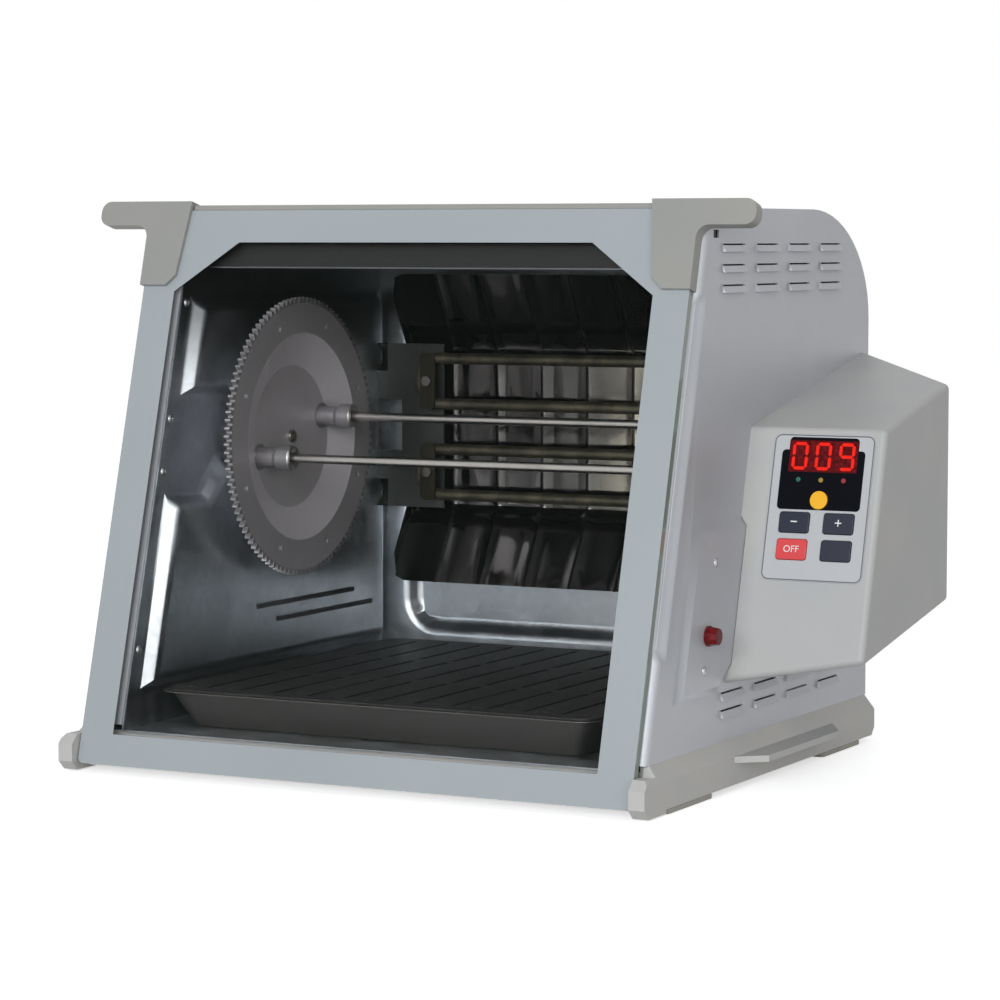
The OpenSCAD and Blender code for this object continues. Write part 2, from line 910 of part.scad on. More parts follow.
module inner_back_wall() {
    color(liner_grey)
        placed()
            translate([0, back_y + sheet_t, 0])
                rotate([90, 0, 0])
                    difference() {
                        union() {
                            translate([-liner_x, deck_z])
                                cube([2 * liner_x, ceiling_z - deck_z, sheet_t]);
                            loft(inset(recess_outline, bevel_w), recess_outline,
                                -recess_d, sheet_t);
                        }
                        translate([0, 0, sheet_t])
                            loft(inset(recess_outline, bevel_w), recess_outline,
                                -recess_d, sheet_t);
                    }
}

// Reflector: a bright sheet on the back wall with upright ribs. It stands upright behind the
// heater, and leans forward above and below it
reflector_w = 296;
reflector_rise = 71;
reflector_drop = 6;
reflector_low = floor_z + reflector_rise;
reflector_high = ceiling_z - reflector_drop;
reflector_t = 0.8;
reflector_round = 18;
reflector_flange = 6;
reflector_lean = 0.58;
fold_under = 10;
fold_over = 7;
fold_low = run_z(heater_runs - 1) - fold_under;
fold_high = run_z(0) + fold_over;
fold_half = 4;
reflector_panels = 8;
panel_out = 4;
panel_crown = 0.5;
rib_half = 2;
rib_out = 2.2;
crown_steps = 4;
panel_pitch = (reflector_w - 2 * reflector_flange) / reflector_panels;

// Columns of points, as distance across and how far they stand out of the back
reflector_columns = concat(
    [[-reflector_w / 2, 0], [reflector_flange - reflector_w / 2, 0]],
    [for (i = [0 : reflector_panels - 1])
        let (x = (i - reflector_panels / 2) * panel_pitch)
        for (p = concat(
            i > 0 ? [[x, panel_out + rib_out]] : [],
            [for (k = [0 : crown_steps])
                [x + rib_half + (panel_pitch - 2 * rib_half) * k / crown_steps,
                    panel_out + panel_crown * sin(180 * k / crown_steps)]]))
            p],
    [[reflector_w / 2 - reflector_flange, 0], [reflector_w / 2, 0]]);

// Heights of the rows between the lower and the upper edge
reflector_rows = [
    for (fold = [fold_low, fold_high])
        for (k = [-1, -1 / 3, 1 / 3, 1])
            fold + k * fold_half
];

// How far the sheet has come forward at distance d beyond a fold
function lean_at(d) = reflector_lean * (
    d > fold_half ? d : d < -fold_half ? 0 : pow(d + fold_half, 2) / (4 * fold_half));
// How far the round corners move the upper and lower edges in
function corner_in(x) =
    let (d = max(abs(x) - reflector_w / 2 + reflector_round, 0))
    reflector_round - sqrt(pow(reflector_round, 2) - pow(d, 2));
reflector_face = [
    for (c = reflector_columns)
        for (z = concat(
            [reflector_low + corner_in(c.x)], reflector_rows, [reflector_high - corner_in(c.x)]))
            [c.x, -c.y - lean_at(fold_low - z) - lean_at(z - fold_high), z]
];

module reflector() {
    m = len(reflector_rows) + 2;
    n = len(reflector_columns);
    back = n * m;
    color("#c9ccd0")
        placed()
            translate([0, back_y - gap, 0])
                polyhedron(
                    points = concat(
                        [for (p = reflector_face) p - [0, reflector_t, 0]],
                        reflector_face),
                    faces = concat(
                        [for (i = [0 : n - 2]) for (j = [0 : m - 2])
                            let (a = i * m + j)
                            for (f = [
                                [a, a + 1, a + m + 1], [a, a + m + 1, a + m],
                                [back + a, back + a + m + 1, back + a + 1],
                                [back + a, back + a + m, back + a + m + 1]
                            ])
                                f],
                        [for (j = [0 : m - 2])
                            let (b = back - m + j)
                            for (f = [
                                [back + j, back + j + 1, j + 1, j],
                                [b, b + 1, back + b + 1, back + b]
                            ])
                                f],
                        [for (i = [0 : n - 2])
                            let (a = i * m, b = i * m + m - 1)
                            for (f = [
                                [a + m, back + a + m, back + a, a],
                                [b, back + b, back + b + m, b + m]
                            ])
                                f]));
}

module floor_pan() {
    half = plain_x - gap;
    front = face_y(floor_z, liner_front);
    color(liner_grey)
        placed()
            translate([-half, front, floor_z - sheet_t])
                cube([2 * half, back_y - gap - front, sheet_t]);
}

// Heater

bend_r = run_pitch / 2;
bend_x = heater_w / 2 - bend_r - sheath_d / 2;
tail_l = 4;
tail_x = liner_x + tail_l;

module heater_bend(side, i) {
    translate([side * bend_x, heater_y, (run_z(i) + run_z(i + 1)) / 2])
        rotate([90, 0, 0])
            rotate([0, 0, side > 0 ? -90 : 90])
                rotate_extrude(angle = 180)
                    translate([bend_r, 0])
                        circle(d = sheath_d);
}

module heater_element() {
    color(dark_steel)
        placed() {
            for (i = [1 : heater_runs - 2])
                pin_x(-bend_x, bend_x, heater_y, run_z(i), sheath_d / 2);
            for (i = [0, heater_runs - 1])
                pin_x(-bend_x, tail_x, heater_y, run_z(i), sheath_d / 2);
            heater_bend(-1, 0);
            heater_bend(1, 1);
            heater_bend(-1, 2);
        }
}

// Bracket between the heater bends and the inner wall
bracket_t = 1.2;
bracket_in = bend_x;
bracket_out = raised_x;
bracket_over = 10;
bracket_h = (heater_runs - 1) * run_pitch + 2 * bracket_over;
bracket_flange = 17;
bracket_y = heater_y + sheath_d / 2 + gap;
bolt_r = 2;
bolt_x = bend_x + bend_r / 2;
bolt_heights = [(run_z(0) + run_z(1)) / 2, (run_z(2) + run_z(3)) / 2];

module heater_bracket() {
    slot_w = (bracket_out - bracket_in) / 3;
    difference() {
        union() {
            translate([bracket_in, bracket_y, heater_mid - bracket_h / 2])
                cube([bracket_out - bracket_in, bracket_t, bracket_h]);
            translate([bracket_out - bracket_t, bracket_y, heater_mid - bracket_h / 2])
                cube([bracket_t, bracket_flange, bracket_h]);
        }
        for (z = bolt_heights)
            translate([bolt_x, bracket_y - cut, z])
                rotate([-90, 0, 0])
                    cylinder(h = bracket_t + 2 * cut, r = bolt_r + fit);
        // Notches round the insulators of the two ends
        for (i = [0, heater_runs - 1])
            pin_x(bracket_out - emboss_h, bracket_out + cut, heater_y, run_z(i), collar_r + gap);
        // Opening between the two clamps
        translate([bracket_out - slot_w - 2 * bracket_t, bracket_y - cut, heater_mid - slot_w])
            cube([slot_w, bracket_t + 2 * cut, 2 * slot_w]);
    }
}

module right_heater_bracket() {
    color(dark_steel)
        placed()
            heater_bracket();
}

module left_heater_bracket() {
    color(dark_steel)
        placed()
            mirror([1, 0, 0])
                heater_bracket();
}

// Straps that hold two runs each against the bracket
clamp_w = 12;
clamp_t = 1.2;
clamp_y = heater_y - sheath_d / 2 - gap - clamp_t;

module heater_clamps() {
    color(bright_steel)
        placed()
            both_sides()
                for (z = bolt_heights)
                    translate([bolt_x, clamp_y + clamp_t, z])
                        rotate([90, 0, 0])
                            difference() {
                                linear_extrude(clamp_t)
                                    round_rect(clamp_w, run_pitch + sheath_d, clamp_w / 3);
                                translate([0, 0, -cut])
                                    cylinder(h = clamp_t + 2 * cut, r = bolt_r + fit);
                            }
}

module heater_bolts() {
    grip = bracket_y + bracket_t - clamp_y + gap;
    color(bright_steel)
        placed()
            both_sides()
                for (z = bolt_heights)
                    translate([bolt_x, clamp_y - gap, z])
                        rotate([-90, 0, 0]) {
                            cylinder(h = grip + 2 * bolt_r, r = bolt_r);
                            translate([0, 0, -bolt_r])
                                cylinder(h = bolt_r, r = 2 * bolt_r, $fn = 6);
                            translate([0, 0, grip + gap])
                                cylinder(h = 1.5 * bolt_r, r = 2 * bolt_r, $fn = 6);
                        }
}

module heater_terminals() {
    neck = emboss_h / 2;
    color("#e6e0d2")
        placed()
            for (i = [0, heater_runs - 1])
                difference() {
                    union() {
                        pin_x(raised_x - neck, liner_x + tail_l / 2, heater_y, run_z(i), bush_r);
                        pin_x(raised_x - neck, raised_x - gap, heater_y, run_z(i), collar_r);
                    }
                    pin_x(raised_x - neck - cut, liner_x + neck, heater_y, run_z(i),
                        sheath_d / 2 + fit);
                }
}

// Thermal cut-out on the ceiling
cutout_r = 9;
cutout_h = 10;
cutout_x = 60;
cutout_y = 210;

module thermal_cutout() {
    color("#d8d2c4")
        placed()
            translate([cutout_x, cutout_y, ceiling_z + sheet_t]) {
                cylinder(h = cutout_h, r = cutout_r);
                for (x = [-cutout_r / 2, cutout_r / 2])
                    translate([x - sheet_t / 2, -2 * sheet_t, cutout_h - sheet_t])
                        cube([sheet_t, 4 * sheet_t, cutout_h / 2]);
            }
}

// Saddles at the end of the guides that carry the axle stubs
saddle_end = 1.5;
saddle_l = emboss_h - saddle_end;

module spit_saddle() {
    across(-plain_x, saddle_l)
        difference() {
            translate([hub_y, hub_z])
                intersection() {
                    circle(r = saddle_half);
                    translate([-saddle_half, -saddle_half])
                        square([2 * saddle_half, saddle_half + axle_r / 2]);
                }
            translate([hub_y, hub_z])
                circle(r = axle_r + fit);
            translate([hub_y - axle_r - fit, hub_z])
                square([2 * (axle_r + fit), saddle_half]);
        }
}

module left_spit_saddle() {
    color("#cfcabd")
        placed()
            spit_saddle();
}

module right_spit_saddle() {
    color("#cfcabd")
        placed()
            mirror([1, 0, 0])
                spit_saddle();
}

// Gear teeth

pressure = 20;
addendum_share = 0.9;
dedendum_share = 1.15;
backlash = 0.3;
flank_steps = 3;

function roll(a) = tan(a) * 180 / PI - a;
function half_tooth(r, teeth) =
    let (
        pr = gear_module * teeth / 2,
        br = pr * cos(pressure)
    )
    90 / teeth - backlash / 4 / pr * 180 / PI + roll(pressure) - roll(acos(min(1, br / r)));

// Outline of a spur gear with its first tooth on the X axis
function gear_outline(teeth, steps) =
    let (
        pr = gear_module * teeth / 2,
        root = pr - dedendum_share * gear_module,
        start = max(root, pr * cos(pressure)),
        tip = pr + addendum_share * gear_module
    )
    [
        for (i = [0 : teeth - 1])
            let (turn = 360 * i / teeth)
            for (p = concat(
                start > root ? [[root, -half_tooth(start, teeth)]] : [],
                [for (k = [0 : steps])
                    let (r = start + (tip - start) * k / steps)
                    [r, -half_tooth(r, teeth)]],
                [for (k = [steps : -1 : 0])
                    let (r = start + (tip - start) * k / steps)
                    [r, half_tooth(r, teeth)]],
                start > root ? [[root, half_tooth(start, teeth)]] : []))
                [p.x * cos(turn + p.y), p.x * sin(turn + p.y)]
    ];

// Gear wheel: toothed rim, cone and sunk disc with two spit sockets

tip_r = pitch_r + addendum_share * gear_module;
ring_in_share = 0.742;
disc_share = 0.51;
rim_hole_share = 0.84;
rim_holes = 8;
rim_hole_r = 2;
disc_sink = 9.5;
disc_t = 3;

// The left wheel's disc is sunk below its rim. The right wheel is the same pressing turned over,
// close to the wall, with its disc raised above the rim
right_rim_x = raised_x - rim_t - wheel_room;
left_disc = rim_x + disc_sink;
right_disc = right_rim_x - (disc_sink + disc_t - rim_t);

socket_l = 27;
right_socket_l = 14;
socket_root_r = 6.6;
socket_mouth_r = 8.5;
socket_lip = 1;
socket_flare_share = 0.6;
socket_funnel = 2;
ring_over = 2;
head_share = 0.8;
hub_boss_r = 10;
hub_boss_l = 3;
axle_end = plain_x - gap;

// Places of the two spit rods around the axis, as angles from the rear
rod_angles = [rod_turn, rod_turn + 180];

// Half turn of a pitch that brings the wheel's teeth onto the gaps of the pinion
wheel_phase = -pinion_turn;

// Wheel seen from inside the cavity: the axis is local Z, the rim's inner face is at zero, and
// the disc lies below it where it is sunk, and above it otherwise
module gear_wheel(sunk) {
    top = sunk ? -disc_sink : disc_sink + disc_t - rim_t;
    reach = sunk ? socket_l : right_socket_l;
    difference() {
        union() {
            translate([0, 0, -rim_t])
                linear_extrude(rim_t)
                    rotate(wheel_phase)
                        difference() {
                            polygon(gear_outline(gear_teeth, 2));
                            circle(r = rim_hole_share * tip_r);
                        }
            translate([0, 0, sunk ? 0 : -rim_t])
                mirror([0, 0, sunk ? 0 : 1])
                    rotate_extrude($fn = 96)
                        polygon([
                            [0, -disc_sink], [disc_share * tip_r, -disc_sink],
                            [ring_in_share * tip_r, 0], [rim_hole_share * tip_r + ring_over, 0],
                            [rim_hole_share * tip_r + ring_over, -rim_t],
                            [ring_in_share * tip_r + disc_t / 2, -rim_t],
                            [disc_share * tip_r + disc_t / 2, -disc_sink - disc_t],
                            [0, -disc_sink - disc_t]
                        ]);
            translate([0, 0, top - disc_t - hub_boss_l])
                cylinder(h = hub_boss_l + disc_t / 2, r = hub_boss_r);
            for (a = rod_angles)
                rotate(a)
                    translate([rod_r, 0, top])
                        rotate_extrude()
                            polygon([
                                [0, -disc_t / 2], [socket_root_r, -disc_t / 2],
                                [socket_root_r, reach / 2],
                                [socket_mouth_r, socket_flare_share * reach],
                                [socket_mouth_r, reach - socket_lip],
                                [socket_mouth_r - socket_lip, reach],
                                [0, reach]
                            ]);
        }
        for (i = [0 : rim_holes - 1])
            rotate(360 * (i + 0.5) / rim_holes)
                translate([rim_hole_share * tip_r, 0, -rim_t - cut])
                    cylinder(h = rim_t + 2 * cut, r = rim_hole_r);
        for (a = rod_angles)
            rotate(a)
                translate([rod_r, 0, top - disc_t / 2]) {
                    cylinder(h = reach + disc_t, r = rod_d / 2 + fit);
                    translate([0, 0, disc_t / 2 + reach - socket_funnel])
                        cylinder(h = socket_funnel + cut, r1 = rod_d / 2 + fit,
                            r2 = socket_mouth_r - socket_lip);
                }
        translate([0, 0, top - disc_t - hub_boss_l - cut])
            cylinder(h = disc_t + hub_boss_l + 2 * cut, r = axle_r / 2 + fit);
    }
}

// The wheels face each other. Seen from inside, depth runs to the right on the left wheel and
// the same places are mirrored on the right wheel
module left_gear_wheel() {
    color(wheel_grey)
        placed()
            translate([-rim_x, hub_y, hub_z])
                rotate([90, 0, 90])
                    gear_wheel(true);
}

module right_gear_wheel() {
    color(wheel_grey)
        placed()
            mirror([1, 0, 0])
                translate([-right_rim_x, hub_y, hub_z])
                    rotate([90, 0, 90])
                        gear_wheel(false);
}

module spit_rods() {
    grip = disc_t / 2 - gap;
    color(bright_steel)
        placed()
            for (a = rod_angles)
                pin_x(-left_disc - grip, right_disc + grip,
                    hub_y + rod_r * cos(a), hub_z + rod_r * sin(a), rod_d / 2);
}

// Stub riveted through a wheel's hub, thick outside and thin through the hub
module axle_stub(disc_x) {
    shoulder_x = disc_x + disc_t + hub_boss_l;
    head_h = 2;
    pin_x(shoulder_x, axle_end, hub_y, hub_z, axle_r);
    pin_x(disc_x, shoulder_x, hub_y, hub_z, axle_r / 2);
    pin_x(disc_x - head_h, disc_x, hub_y, hub_z, head_share * axle_r);
}

module axle_stubs() {
    color(bright_steel)
        placed() {
            axle_stub(right_disc);
            mirror([1, 0, 0])
                axle_stub(left_disc);
        }
}

// Drive

pinion_over = 2.4;
pinion_x0 = right_rim_x - pinion_over;
pinion_x1 = raised_x - gap;
bracket_x = liner_x + gap;
motor_x = bracket_x + bracket_t;
shaft_grip = 6;
shaft_x1 = motor_x + shaft_grip;
pinion_collar_l = 3;
pinion_collar_w = 3;
motor_shift = motor_r / 3;

module drive_pinion() {
    color("#5c5c60")
        placed()
            translate([pinion_x0, pinion_y, pinion_z])
                rotate([90, 0, 90])
                    difference() {
                        union() {
                            // A gap between two teeth faces the wheel
                            linear_extrude(pinion_x1 - pinion_x0)
                                rotate(180 - pinion_turn + 180 / pinion_teeth)
                                    polygon(gear_outline(pinion_teeth, flank_steps));
                            translate([0, 0, -pinion_collar_l])
                                cylinder(h = pinion_x1 - pinion_x0 + pinion_collar_l,
                                    r = shaft_r + pinion_collar_w);
                        }
                        translate([0, 0, -pinion_collar_l - cut])
                            cylinder(h = pinion_x1 - pinion_x0 + pinion_collar_l + 2 * cut,
                                r = shaft_r + fit / 2);
                    }
}

module drive_shaft() {
    head_h = 1.5;
    head_w = 1;
    shaft_x0 = pinion_x0 - pinion_collar_l - gap;
    color(bright_steel)
        placed() {
            pin_x(shaft_x0, shaft_x1, pinion_y, pinion_z, shaft_r);
            pin_x(shaft_x0 - head_h, shaft_x0, pinion_y, pinion_z, shaft_r + head_w);
        }
}

motor_plate_w = 84;
motor_plate_h = 66;
motor_screw_r = 2;
motor_screw_gap = 34;
motor_ear_t = 2;

// Plate on two legs that reach into the hollow of the raised wall
module motor_bracket() {
    leg = bracket_x - raised_x - sheet_t - gap;
    color(bright_steel)
        placed()
            difference() {
                union() {
                    translate([bracket_x, pinion_y - motor_plate_w / 2, pinion_z - motor_plate_h / 2])
                        cube([bracket_t, motor_plate_w, motor_plate_h]);
                    for (y = [-motor_plate_w / 2, motor_plate_w / 2 - bracket_t])
                        translate([bracket_x - leg, pinion_y + y, pinion_z - motor_plate_h / 2])
                            cube([leg, bracket_t, motor_plate_h]);
                }
                pin_x(bracket_x - cut, bracket_x + bracket_t + cut, pinion_y, pinion_z,
                    2 * shaft_r);
                for (y = [-motor_screw_gap, motor_screw_gap])
                    pin_x(bracket_x - cut, bracket_x + bracket_t + cut, pinion_y + y, pinion_z,
                        motor_screw_r + fit);
            }
}

module gearmotor() {
    color("#b8b8ba")
        placed()
            translate([motor_x, pinion_y, pinion_z])
                rotate([90, 0, 90])
                    difference() {
                        union() {
                            translate([0, motor_shift, 0])
                                cylinder(h = motor_l, r = motor_r);
                            translate([0, 0, -bracket_t])
                                cylinder(h = bracket_t + motor_ear_t, r = 2 * shaft_r - gap);
                            linear_extrude(motor_ear_t)
                                round_rect(2 * motor_screw_gap + 4 * motor_screw_r,
                                    4 * motor_screw_r, 2 * motor_screw_r - gap);
                            translate([0, motor_shift + motor_r, motor_l / 2])
                                cube([motor_r, motor_r / 3, motor_l / 2], center = true);
                        }
                        translate([0, 0, -bracket_t - cut])
                            cylinder(h = shaft_x1 - motor_x + bracket_t + 2 * cut, r = shaft_r + fit);
                        for (y = [-motor_screw_gap, motor_screw_gap])
                            translate([y, 0, -cut])
                                cylinder(h = motor_ear_t + 2 * cut, r = motor_screw_r + fit);
                    }
}

module motor_screws() {
    color(bright_steel)
        placed()
            for (y = [-motor_screw_gap, motor_screw_gap])
                translate([motor_x + motor_ear_t, pinion_y + y, pinion_z])
                    rotate([0, 90, 0])
                        pan_screw(motor_screw_r, 3 * motor_screw_r);
}

// Control box

box_r = 4;
box_undercut = 15.7;
box_low_out = control_low + box_undercut;
box_rear_room = 88;
box_root_room = 8;
box_rear_y = body_d - box_rear_room;
box_rear_high = 249;
box_rear_low = 107.5;
box_root_y = body_d - box_root_room;
box_root_high = 265;
box_root_low = 106.5;
box_x0 = body_half;

// Middles of the round corners: front ones on the door plane, rear ones as places
function front_corner(x, along) =
    let (p = on_face(along, -control_back - box_r))
    [x, p.x, p.y];
box_corners = [
    front_corner(box_x0, control_low + box_r),
    front_corner(box_x0, control_high - box_r),
    front_corner(body_half + control_reach - box_r, control_high - box_r),
    front_corner(body_half + control_reach - box_r, box_low_out + box_r),
    [body_half + control_reach - box_r, box_rear_y - box_r, box_rear_high - box_r],
    [body_half + control_reach - box_r, box_rear_y - box_r, box_rear_low + box_r],
    [box_x0, box_root_y - box_r, box_root_high - box_r],
    [box_x0, box_root_y - box_r, box_root_low + box_r]
];

module box_hull(r) {
    hull()
        for (p = box_corners)
            translate(p)
                sphere(r = r, $fn = hull_facets);
}

// Bosses in the corners of the box take the screws from inside the casing: depth, height, how
// far the side panel stands out there, and length
housing_screw_r = 1.8;
boss_r = 5;
boss_screw_l = 14;
boss_l = boss_screw_l + boss_r;
rear_boss_l = 36;
boss_cover = 1.5;
boss_top_room = 2;
boss_behind = -control_back - boss_r - boss_cover;
low_boss = on_face(control_low + 6 * boss_r, boss_behind);
high_boss = on_face(control_high - boss_r - boss_top_room, boss_behind);
boss_places = [
    [low_boss.x, low_boss.y, pad_h, boss_l],
    [high_boss.x, high_boss.y, 0, boss_l],
    [box_root_y - 6 * boss_r, box_root_high - 3 * boss_r, 0, rear_boss_l],
    [box_root_y - 6 * boss_r, box_root_low + 2 * boss_r, 0, rear_boss_l]
];

// Control panel: places along X and up the slope
panel_shift = 51;
panel_rise = 65.3;
panel_drop = 5.5;
panel_x = body_half + panel_shift;
panel_low = control_low + panel_rise;
panel_high = control_high - panel_drop;
panel_w = 67;
panel_r = 5;
panel_t = 0.8;
field_drop = 2;
field_l = 45.7;
field_step = 8;
field_top = panel_high - field_drop;
field_low = field_top - field_l;
field_shoulder = field_top - field_step;
field_w = 55;
field_top_w = 46;
field_r = 2.5;
led_w = 45.5;
led_h = 20;
led_drop = 11.8;
led_mid = field_top - led_drop;
key_w = 20;
key_h = 13;
key_r = 2;
key_drop = 56;
key_row_gap = 17;
key_rows = [panel_high - key_drop, panel_high - key_drop - key_row_gap];
key_shift = 14.7;
round_key_r = 5.8;
round_key_drop = 41.5;
round_key_along = panel_high - round_key_drop;
lamp_drop = 28.8;
lamp_row = panel_high - lamp_drop;
lamp_gap = 15;
indicator_r = 1.5;
board_out = -13;
board_t = 1.6;
board_w = 66;
board_under = 3;
board_drop = 2;
board_low = panel_low - board_under;
board_high = panel_high - board_drop;
post_r = 3;

// Draws on the control face, with the panel's middle line at X = 0
module on_panel(out) {
    on_door()
        translate([panel_x, 0, out - control_back])
            children();
}

module panel_outline(grow) {
    translate([0, (panel_low + panel_high) / 2])
        round_rect(panel_w + 2 * grow, panel_high - panel_low + 2 * grow, panel_r);
}

module field_outline(grow) {
    for (part = [[field_w, field_shoulder], [field_top_w, field_top]])
        translate([0, (field_low + part.y) / 2])
            round_rect(part.x + 2 * grow, part.y - field_low + 2 * grow, field_r + grow);
}

module led_outline(grow) {
    translate([-led_w / 2 - grow, led_mid - led_h / 2 - grow])
        square([led_w + 2 * grow, led_h + 2 * grow]);
}

// Middles of the four keys, from the upper left across
key_places = [
    [-key_shift, key_rows[0]], [key_shift, key_rows[0]],
    [-key_shift, key_rows[1]], [key_shift, key_rows[1]]
];

module keys_outline(grow) {
    for (p = key_places)
        translate(p)
            round_rect(key_w + 2 * grow, key_h + 2 * grow, key_r);
    translate([0, round_key_along])
        circle(r = round_key_r + grow);
}

module lamps_outline(grow) {
    for (x = [-lamp_gap, 0, lamp_gap])
        translate([x, lamp_row])
            circle(r = indicator_r + grow);
}

board_posts = [
    for (x = [-board_w / 2 + post_r, board_w / 2 - post_r])
        for (t = [board_low + post_r, board_high - post_r])
            [x, t]
];

module control_housing() {
    color(plastic_grey)
        placed() {
            difference() {
                box_hull(box_r);
                box_hull(box_r - control_wall);
                translate([box_x0 - 2 * box_r, 0, 0])
                    cube([2 * box_r, body_d, body_h]);
                translate([body_half - sheet_t, 0, 0])
                    rotate([90, 0, 90])
                        loft(pad_grown(gap), inset(pad_outline, pad_bevel - gap),
                            0, pad_h + sheet_t + gap);
                on_panel(-2 * control_wall)
                    linear_extrude(3 * control_wall) {
                        led_outline(gap);
                        keys_outline(gap);
                        lamps_outline(gap);
                    }
            }
            intersection() {
                box_hull(box_r);
                for (p = boss_places)
                    difference() {
                        pin_x(body_half + p.z, body_half + p.z + p[3], p.x, p.y, boss_r);
                        pin_x(body_half, body_half + p.z + boss_screw_l + cut, p.x, p.y,
                            housing_screw_r + fit);
                    }
            }
            on_panel(board_out)
                for (p = board_posts)
                    translate([p.x, p.y, 0])
                        difference() {
                            cylinder(h = -board_out - control_wall / 2, r = post_r);
                            translate([0, 0, -cut])
                                cylinder(h = -board_out / 2, r = post_r / 3 + fit);
                        }
        }
}

module housing_screws() {
    color(bright_steel)
        placed()
            for (p = boss_places)
                translate([body_half - sheet_t + p.z, p.x, p.y])
                    rotate([0, -90, 0])
                        pan_screw(housing_screw_r, boss_screw_l);
}

module control_fascia() {
    color("#9c9a97")
        placed()
            on_panel(0)
                linear_extrude(panel_t)
                    difference() {
                        panel_outline(0);
                        field_outline(fit);
                        keys_outline(gap);
                    }
}

module display_window() {
    color(black_plastic)
        placed()
            on_panel(0)
                linear_extrude(panel_t)
                    difference() {
                        field_outline(0);
                        led_outline(fit);
                        keys_outline(gap);
                        lamps_outline(fit);
                    }
}

module led_module() {
    color("#1b0d0f")
        placed()
            on_panel(board_out)
                linear_extrude(panel_t - board_out - fit)
                    led_outline(0);
}

// Lit segments that show 009, as a height and pitch of their own
digit_w = 10.5;
digit_h = 17.5;
digit_pitch = 15.5;
segment_w = 2;
segment_t = 0.2;
digit_rows = [
    [1, 1, 1, 0, 1, 1, 1],
    [1, 1, 1, 0, 1, 1, 1],
    [1, 1, 1, 1, 0, 1, 1]
];

// One bar with pointed ends
module segment(length) {
    end = segment_w / 2;
    half = length / 2 - gap;
    polygon([
        [-half, 0], [end - half, -end], [half - end, -end],
        [half, 0], [half - end, end], [end - half, end]
    ]);
}

// Segments in the order top, upper left, upper right, middle, lower left, lower right, foot
module digit(lit) {
    w = digit_w - segment_w;
    h = (digit_h - segment_w) / 2;
    places = [
        [0, h, 0], [-w / 2, h / 2, 1], [w / 2, h / 2, 1], [0, 0, 0],
        [-w / 2, -h / 2, 1], [w / 2, -h / 2, 1], [0, -h, 0]
    ];
    for (i = [0 : len(places) - 1])
        if (lit[i] == 1)
            translate([places[i].x, places[i].y])
                rotate(90 * places[i].z)
                    segment(places[i].z == 1 ? h : w);
}

module led_digits() {
    color("#ff2a1a")
        placed()
            on_panel(panel_t - fit)
                linear_extrude(segment_t)
                    for (i = [0 : len(digit_rows) - 1])
                        translate([(i - 1) * digit_pitch, led_mid])
                            digit(digit_rows[i]);
}

module indicator_lamps() {
    color("#a04434")
        placed()
            on_panel(board_out)
                linear_extrude(panel_t - board_out + gap)
                    lamps_outline(0);
}

// A push key: cap through the face, a flange behind it and a stem towards its switch
key_proud = 1.6;
flange_t = 1;
flange_over = 1;
switch_h = 3;
stem_end = board_out + switch_h + button_travel + gap;
stem_r = 2.5;

module key_at(p) {
    translate([p.x, p.y, 0]) {
        translate([0, 0, -control_wall - gap])
            linear_extrude(key_proud + control_wall + gap)
                children();
        translate([0, 0, -control_wall - gap - flange_t])
            linear_extrude(flange_t)
                offset(delta = flange_over)
                    children();
        translate([0, 0, stem_end])
            cylinder(h = -stem_end - control_wall, r = stem_r);
    }
}

module square_key(i, tint) {
    color(tint)
        placed()
            on_panel(0)
                key_at(key_places[i])
                    round_rect(key_w, key_h, key_r);
}

module minus_button() {
    square_key(0, "#1d2026");
}

module plus_button() {
    square_key(1, "#1d2026");
}

module off_button() {
    square_key(2, "#d8402f");
}

module timer_button() {
    square_key(3, "#1d2026");
}

module function_button() {
    color("#f2b63c")
        placed()
            on_panel(0)
                key_at([0, round_key_along])
                    circle(r = round_key_r);
}

module circuit_board() {
    color("#2f5d3a")
        placed()
            on_panel(board_out - board_t)
                difference() {
                    union() {
                        translate([-board_w / 2, board_low, 0])
                            cube([board_w, board_high - board_low, board_t]);
                        // Switches under the keys
                        for (p = concat(key_places, [[0, round_key_along]]))
                            translate([p.x, p.y, board_t])
                                cylinder(h = switch_h, r = stem_r);
                    }
                    for (p = board_posts)
                        translate([p.x, p.y, -cut])
                            cylinder(h = board_t + 2 * cut, r = post_r / 3 + fit);
                }
}

module board_screws() {
    color(bright_steel)
        placed()
            on_panel(board_out - board_t)
                for (p = board_posts)
                    translate([p.x, p.y, 0])
                        rotate([180, 0, 0])
                            pan_screw(post_r / 3, 2 * post_r);
}

transformer = [30, 26, 22];
relay = [20, 16, 16];

// A part that stands on the rear of the board
module board_block(size, x, along) {
    on_panel(board_out - board_t - size.z)
        translate([x - size.x / 2, along - size.y / 2, 0])
            cube(size);
}

module board_parts() {
    color("#c9a23a")
        placed() {
            board_block(transformer, -board_w / 5, board_low + transformer.y);
            board_block(relay, board_w / 5, board_low + 3 * relay.y);
        }
}

// Side panel trim

lamp_out = 7.5;
lamp_flange = 1.5;
lamp_flange_w = 0.4;
lamp_taper = 0.8;

module pilot_lamp() {
    color("#b3171b")
        placed()
            translate([body_half + pad_h, lamp_y, lamp_z])
                rotate([0, 90, 0]) {
                    translate([0, 0, gap])
                        cylinder(h = lamp_flange, r = lamp_r + lamp_flange_w);
                    translate([0, 0, gap + lamp_flange])
                        cylinder(h = lamp_out - lamp_flange, r1 = lamp_r, r2 = lamp_r - lamp_taper,
                            $fn = 10);
                    translate([0, 0, -3 * sheet_t])
                        cylinder(h = 3 * sheet_t + gap, r = lamp_r - fit);
                }
}

